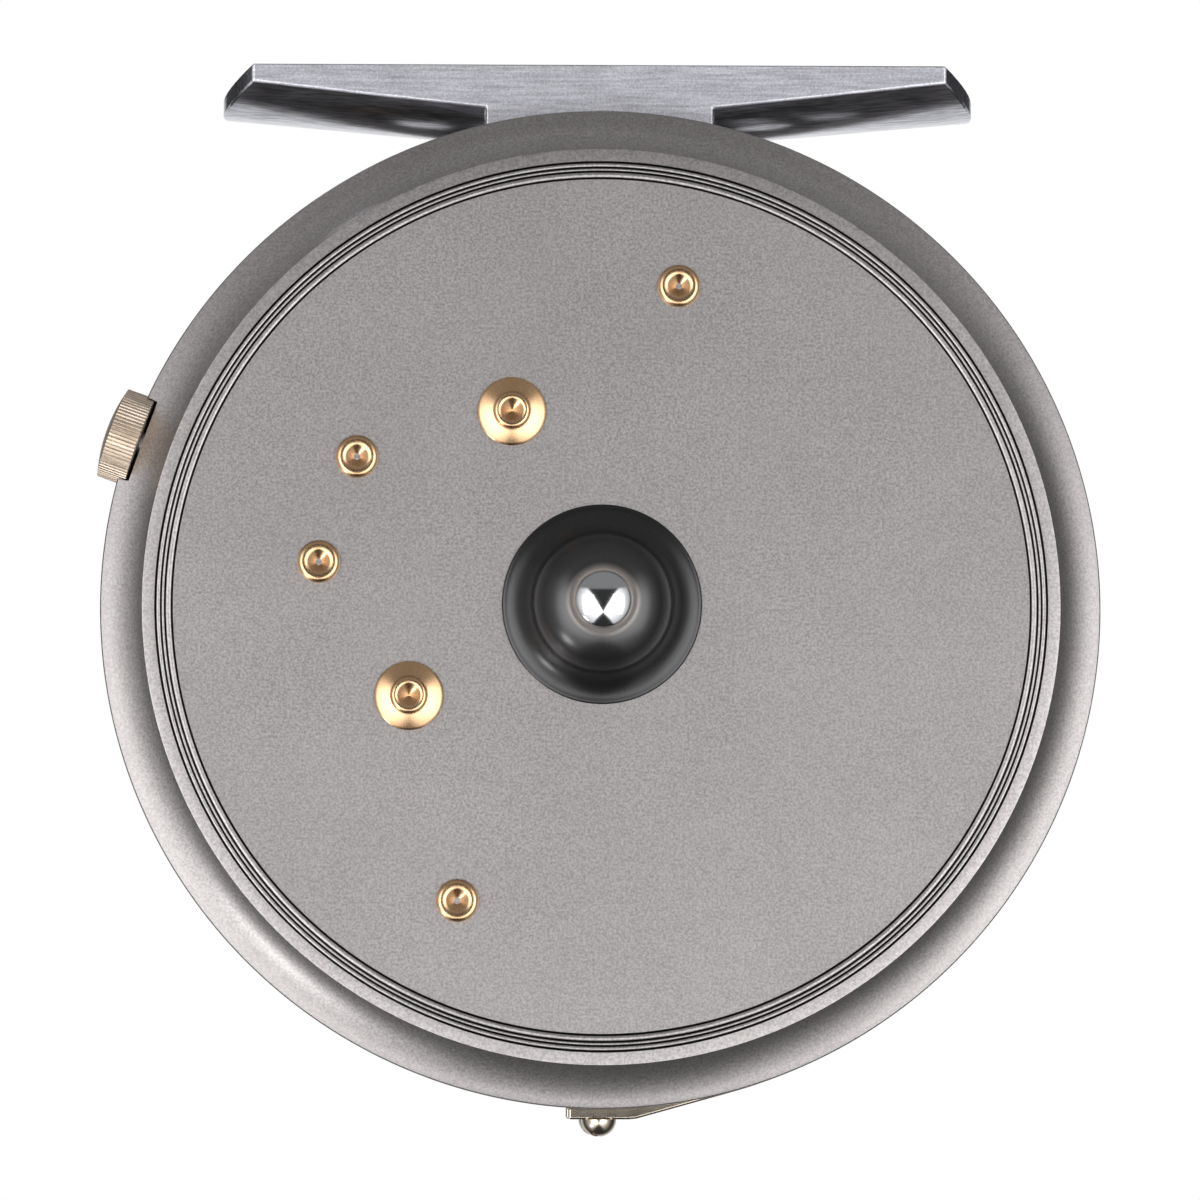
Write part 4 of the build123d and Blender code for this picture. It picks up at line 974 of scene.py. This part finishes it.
def spool_profile():
    """Section of the spool, from the hub round both flanges to the raised boss."""
    bore, tube, hub, inner, edge = 3.63, 5.2, 7.8, ARBOR - 2.4, 0.18
    rear, face = REAR_BACK, SPOOL_HIGH.y
    profile = [(bore, rear), (hub, rear), (hub, rear + 3.5), (tube, rear + 3.5)]
    profile += [(tube, FRONT_BACK), (inner, FRONT_BACK), (inner, rear)]
    profile += [(FLANGE - edge, rear), (FLANGE, rear + edge)]
    profile += [(FLANGE, REAR_FRONT - edge), (FLANGE - edge, REAR_FRONT)]
    profile += [(ARBOR + 0.5, REAR_FRONT), (ARBOR + 0.15, REAR_FRONT + 0.15), (ARBOR, REAR_FRONT + 0.5)]
    profile += [(ARBOR, FRONT_BACK - 0.5), (ARBOR + 0.15, FRONT_BACK - 0.15), (ARBOR + 0.5, FRONT_BACK)]
    profile += [(FLANGE - edge, FRONT_BACK), (FLANGE, FRONT_BACK + edge)]
    profile += [(FLANGE, LIP - 0.3), (FLANGE - 0.1, LIP - 0.1), (FLANGE - 0.3, LIP)]
    profile += [(FLANGE - 1.1, LIP), (FLANGE - 1.3, LIP - 0.1)]
    profile += [(FLANGE - 1.5, FRONT_FACE + 0.04), (FLANGE - 1.7, FRONT_FACE)]
    profile += [(HUB_BOSS + 0.5, FRONT_FACE), (HUB_BOSS + 0.15, FRONT_FACE + 0.15)]
    profile += [(HUB_BOSS, FRONT_FACE + 0.5), (HUB_BOSS, face - 0.15)]
    return profile + [(HUB_BOSS - 0.15, face), (bore, face)]


def along_latch(y=0.0):
    """Matrix from upright at the origin to the line that the latch slides on."""
    return at(0, y, AXIS_Z) @ Matrix.Rotation(math.pi / 2 - LATCH_ANGLE, 4, "Y")


def spool():
    piece = turned("spool_drum", spool_profile(), steps=288)
    cut(piece, hole_cutters(FRONT_BACK, FRONT_FACE, ((GRIP, POST_BASE), (WEIGHT, 4.6))))
    cut(piece, hole_cutters(REAR_BACK, REAR_FRONT, ()))
    half = 3.3
    way = block("way", (-half, CHANNEL_FLOOR, -CHANNEL_END), (half, SPOOL_HIGH.y + 1, HUB_BOSS + 2))
    cut(piece, settle(way, along_latch()))
    return flat_faces(piece, math.radians(28))


def latch_pad():
    """Keyhole plate and its ribbed pad, as one bevelled plate."""
    low, high = box_mm("latch_slide")
    half, wall, end, inner, outer = 3.2, 1.2, -6.0, HUB_BOSS + 1.8, HUB_BOSS + 3.1
    plate = block("latch_plate", (-half, low.y, end), (half, low.y + wall, outer))
    cut(plate, block("pad", (-half, low.y, inner), (half, high.y, outer)), "UNION")
    count, pitch, rib = 7, 0.8, 0.25
    ribs = []
    for n in range(count):
        tool = block("rib", (-rib, low.y - 1, -rib), (rib, high.y + 1, rib))
        place = at(pitch * n - 2.4, 0, outer)
        ribs.append(settle(tool, place @ Matrix.Rotation(math.pi / 4, 4, "Y")))
    cut(plate, joined("ribs", ribs))
    for radius, z in ((1.94, 0.0), (2.68, LATCH_TRAVEL)):
        cut(plate, cylinder("hole", radius, low.y - 1, low.y + 2, (0, z), 48))
    settle(plate, along_latch())
    return soften(plate, 0.1, 2, 30)


def latch_spring():
    """Coil spring between the plate's end and its channel's, drawn round a screw line."""
    wire, coil, coils, height = 0.12, 0.52, 3, 2.26
    place, upright = (coil * MM, 0, (0.22 - CHANNEL_END) * MM), (math.pi / 2, 0, 0)
    clear_selection()
    bpy.ops.mesh.primitive_circle_add(vertices=14, radius=wire * MM, location=place, rotation=upright)
    spring = bpy.context.object
    spring.name = spring.data.name = "coil_spring"
    bpy.ops.object.transform_apply()
    rise = height / coils * MM
    steps = {"steps": 28, "render_steps": 28, "iterations": coils}
    apply_modifier(spring, "SCREW", angle=FULL_TURN, screw_offset=rise, **steps)
    edit(spring)
    bpy.ops.mesh.select_non_manifold()
    bpy.ops.mesh.fill_holes(sides=0)
    finish_edit()
    middle_y = (CHANNEL_FLOOR + SPOOL_HIGH.y) / 2
    settle(spring, along_latch(middle_y))
    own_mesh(spring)
    return smooth(spring)


def latch_screw_spots():
    return [polar(6.4, LATCH_ANGLE + side * math.pi / 2) for side in (1, -1)]


def latch_cover():
    """Round cover with a turned line and seats for its screws."""
    (radius, back, front), hole = round_box("latch_cover"), 3.1
    dip, brim = (hole, front - 0.35), (4.0, front)
    profile = [(hole, back), (radius, back)]
    profile += [(radius, front - 0.35), (radius - 0.1, front - 0.12), (radius - 0.35, front)]
    profile += [(6.9, front), (6.8, front - 0.1), (6.7, front - 0.1), (6.6, front)]
    profile += [brim] + arc(brim, dip, -0.08, 5) + [dip]
    cover = turned("latch_cap", profile, steps=160)
    for spot in latch_screw_spots():
        cut(cover, cylinder("seat", LATCH_SCREW + 0.04, front - 0.9, front + 1, spot, 48))
    return flat_faces(cover)


def face_front(head, spot, y, turn):
    """Puts a screw head in a front face, with its slot turned by that angle."""
    place = at(spot[0], y, spot[1])
    return settle(head, place @ Matrix.Rotation(turn, 4, "Y") @ Matrix.Rotation(math.pi, 4, "X"))


def latch_screws():
    front = box_mm("latch_cover")[1].y
    heads = []
    for spot, turn in zip(latch_screw_spots(), (0.4, 1.3)):
        head = slotted_head("head", LATCH_SCREW, 0.3, 0.7, edge=0.08)
        heads.append(face_front(head, spot, front, turn))
    return joined("latch_screw_heads", heads)


# ---- Handle and weight ----
def handle_grip():
    """Turned grip, waisted near the spool, with a hollow for its screw."""
    _, start, end = round_box("handle_grip")
    bore, hollow, shoulder = 1.64, 2.7, (3.5, end)
    shape = [(3.5, 0.0), (3.1, 0.16), (3.55, 0.36), (4.3, 0.56), (4.6, 0.74), (4.45, 0.88), (3.9, 0.976)]
    side = flowing([(r, start + share * (end - start)) for r, share in shape], 7)
    profile = [(bore, start), (3.2, start), (3.42, start + 0.06)] + side[1:]
    profile += arc((3.9, end - 0.4), shoulder, -0.1, 5) + [shoulder]
    profile += [(2.8, end), (hollow, end - 0.1), (hollow, end - 1.2), (bore, end - 1.2)]
    return smooth(turned("grip", profile, GRIP, steps=128))


def handle_foot():
    """Round base of the grip's post, with its rivet inside the flange."""
    _, back, front = round_box("handle_post")
    rivet, post, base, top = 2.5, 1.6, POST_BASE, FRONT_FACE + 1.0
    profile = [(0, back), (rivet - 0.2, back), (rivet, back + 0.2), (rivet, FRONT_BACK)]
    profile += [(post, FRONT_BACK), (post, FRONT_FACE), (base, FRONT_FACE), (base, top - 0.4)]
    profile += [(base - 0.1, top - 0.15), (base - 0.4, top), (post, top), (post, front), (0, front)]
    return smooth(turned("grip_post", profile, GRIP))


def handle_screw():
    front = box_mm("handle_screw")[1].y
    return face_front(slotted_head("grip_screw", 2.5, 0.5, 0.9, edge=0.15), GRIP, front, 0.6)


def balance_weight():
    radius, back, front = round_box("balance_weight")
    profile = [(0, back), (radius, back)]
    profile += [(radius, front - 0.6), (radius - 0.15, front - 0.2), (radius - 0.5, front)]
    profile += [(2.6, front), (2.5, front - 0.12), (2.35, front - 0.12), (2.25, front), (0, front)]
    return smooth(turned("weight", profile, WEIGHT))


def weight_rivet():
    _, back, front = round_box("weight_rivet")
    head, shank = 2.1, 1.3
    profile = [(0, back)] + arc((0, back), (head, back + 0.3), -0.03, 5)
    profile += [(head, back + 0.4), (shank, back + 0.4), (shank, front - 0.1)]
    profile += arc((shank, front - 0.1), (0, front), -0.04, 6) + [(0, front)]
    return smooth(turned("weight_pin", profile, WEIGHT, steps=64))


# ---- Build ----
build_frame()
dress(hub_boss(), "black_boss", "reel", "hub_boss")
dress(spindle(), "polished_steel", "reel", "spindle")
build_rivets()
dress(reel_foot(), "polished_aluminium", "reel", "reel_foot")
dress(foot_screws(), "nickel_silver", "reel", "foot_screws")
dress(regulator_knob(), "nickel_silver", "regulator", "regulator_knob", finish="knurled_silver")
dress(line_guard(), "nickel_silver", "reel", "line_guard")
dress(guard_screws(), "nickel_silver", "reel", "guard_screws")
dress(spool(), "spool_aluminium", "spool", "spool")
dress(latch_pad(), "polished_steel", "latch", "latch_slide")
dress(latch_spring(), "spring_steel", "spool", "latch_spring")
dress(latch_cover(), "nickel_silver", "spool", "latch_cover")
dress(latch_screws(), "polished_steel", "spool", "latch_screws")
dress(handle_grip(), "grip_resin", "grip", "handle_grip")
dress(handle_foot(), "polished_steel", "spool", "handle_post")
dress(handle_screw(), "nickel_silver", "spool", "handle_screw")
dress(balance_weight(), "nickel_silver", "spool", "balance_weight")
dress(weight_rivet(), "brass", "spool", "weight_rivet")

slots = {part["node"]: part["material_slot"] for part in frame["record"]["subparts"]}
# The regulator screw, seen in the knob's gap, takes the darker, duller hard steel: its darker colour is painted
# shade in the gap.
painted_shade_finishes = {"regulator_screw": "hard_steel"}
for node, solid in frame["nodes"].items():
    solid.data.materials.clear()
    solid.data.materials.append(FINISHES[painted_shade_finishes.get(node, slots[node])])


# ---- Studio, in metres ----
def studio_floor():
    """White paper far below the object, brighter to the camera than to the object."""
    clear_selection()
    bpy.ops.mesh.primitive_plane_add(size=14, location=(0, 0, -0.6))
    floor = bpy.context.object
    floor.name = "floor"
    material = bpy.data.materials.new("floor_paper")
    material.use_nodes = True
    tree = material.node_tree
    shader = tree.nodes["Principled BSDF"]
    shader.inputs["Base Color"].default_value = (0.9, 0.9, 0.9, 1)
    shader.inputs["Roughness"].default_value = 0.9
    paper, start = Reading(tree, shader.outputs["BSDF"]), Reading(tree)
    glow = start.node("ShaderNodeEmission", Color=(1, 1, 1, 1), Strength=0.66)
    bright = start.node("ShaderNodeAddShader", n0=paper, n1=glow)
    seen = start.node("ShaderNodeLightPath")
    mixed = start.node("ShaderNodeMixShader", n0=seen, n1=paper, n2=bright)
    tree.links.new(mixed.socket, tree.nodes["Material Output"].inputs["Surface"])
    floor.data.materials.append(material)
    floor.visible_glossy = False


def world_light():
    """White behind the object. On the camera's side, pale sides between a dim ceiling and a dark table."""
    world = bpy.data.worlds.new("studio")
    world.use_nodes = True
    bpy.context.scene.world = world
    tree = world.node_tree
    start = Reading(tree)
    seen = start.node("ShaderNodeLightPath")
    x = start.node("ShaderNodeSeparateXYZ", n0=start.node("ShaderNodeTexCoord"))
    y, z = x.output(1), x.output(2)
    dark, ceiling, behind, white = 0.04, 0.3, 0.75, 1.0
    rise = z + 0.47
    gap = x.maths("MAXIMUM", rise * 0.6, rise * -1.05)
    beside = (x.maths("ABSOLUTE", x) - gap).stepped(-0.03, 0.05)
    sides = y.stepped(-1.0, -0.7, 2.5, 0.0) + y.stepped(-0.8, -0.3, 1.6, 0.55)
    sides = sides * (y + x * 0.14).stepped(-0.35, 0.25, 1.0, 0.1)
    room = beside * (sides - dark) + dark
    room = room + z.stepped(0.44, 0.52) * (ceiling - room)
    room = room + y.stepped(0.52, 0.72) * z.stepped(0.12, -0.08) * (behind - room)
    room = room + y.stepped(0.88, 0.98) * (white - room)
    room = room + seen * (white - room)
    background = tree.nodes["Background"]
    tree.links.new(room.socket, background.inputs["Strength"])
    background.inputs["Color"].default_value = (1, 1, 1, 1)


def softbox(name, away, size, watts):
    """A lit rectangle that stands that far from the spool's axis and faces it."""
    light = bpy.data.lights.new(name, "AREA")
    light.shape = "RECTANGLE"
    light.size, light.size_y = size
    light.energy = watts
    lamp = bpy.data.objects.new(name, light)
    bpy.context.scene.collection.objects.link(lamp)
    lamp.location = Vector((0, 0, AXIS_Z * MM)) + Vector(away)
    lamp.rotation_euler = (-Vector(away)).to_track_quat("-Z", "Y").to_euler()


def camera():
    distance = 0.5
    azimuth, elevation = math.radians(-1.4), math.radians(-4.5)
    data = bpy.data.cameras.new("camera")
    data.lens, data.sensor_width, data.clip_start = 185.35, 36.0, 0.01
    eye = bpy.data.objects.new("camera", data)
    bpy.context.scene.collection.objects.link(eye)
    aim = Vector((-0.1, -12.0, AXIS_Z + 0.55)) * MM
    level = math.cos(elevation)
    away = Vector((math.sin(azimuth) * level, -math.cos(azimuth) * level, math.sin(elevation)))
    eye.location = aim + away * distance
    eye.rotation_euler = (-away).to_track_quat("-Z", "Y").to_euler()
    bpy.context.scene.camera = eye


studio_floor()
world_light()
softbox("left_box", (-0.39, -0.54, -0.1), (0.35, 0.55), 0.87)
softbox("right_box", (0.41, -0.53, -0.08), (0.35, 0.55), 0.86)
softbox("low_box", (-0.36, -0.21, -0.36), (0.11, 0.11), 0.45)
camera()
bpy.context.scene.view_settings.view_transform = "Standard"
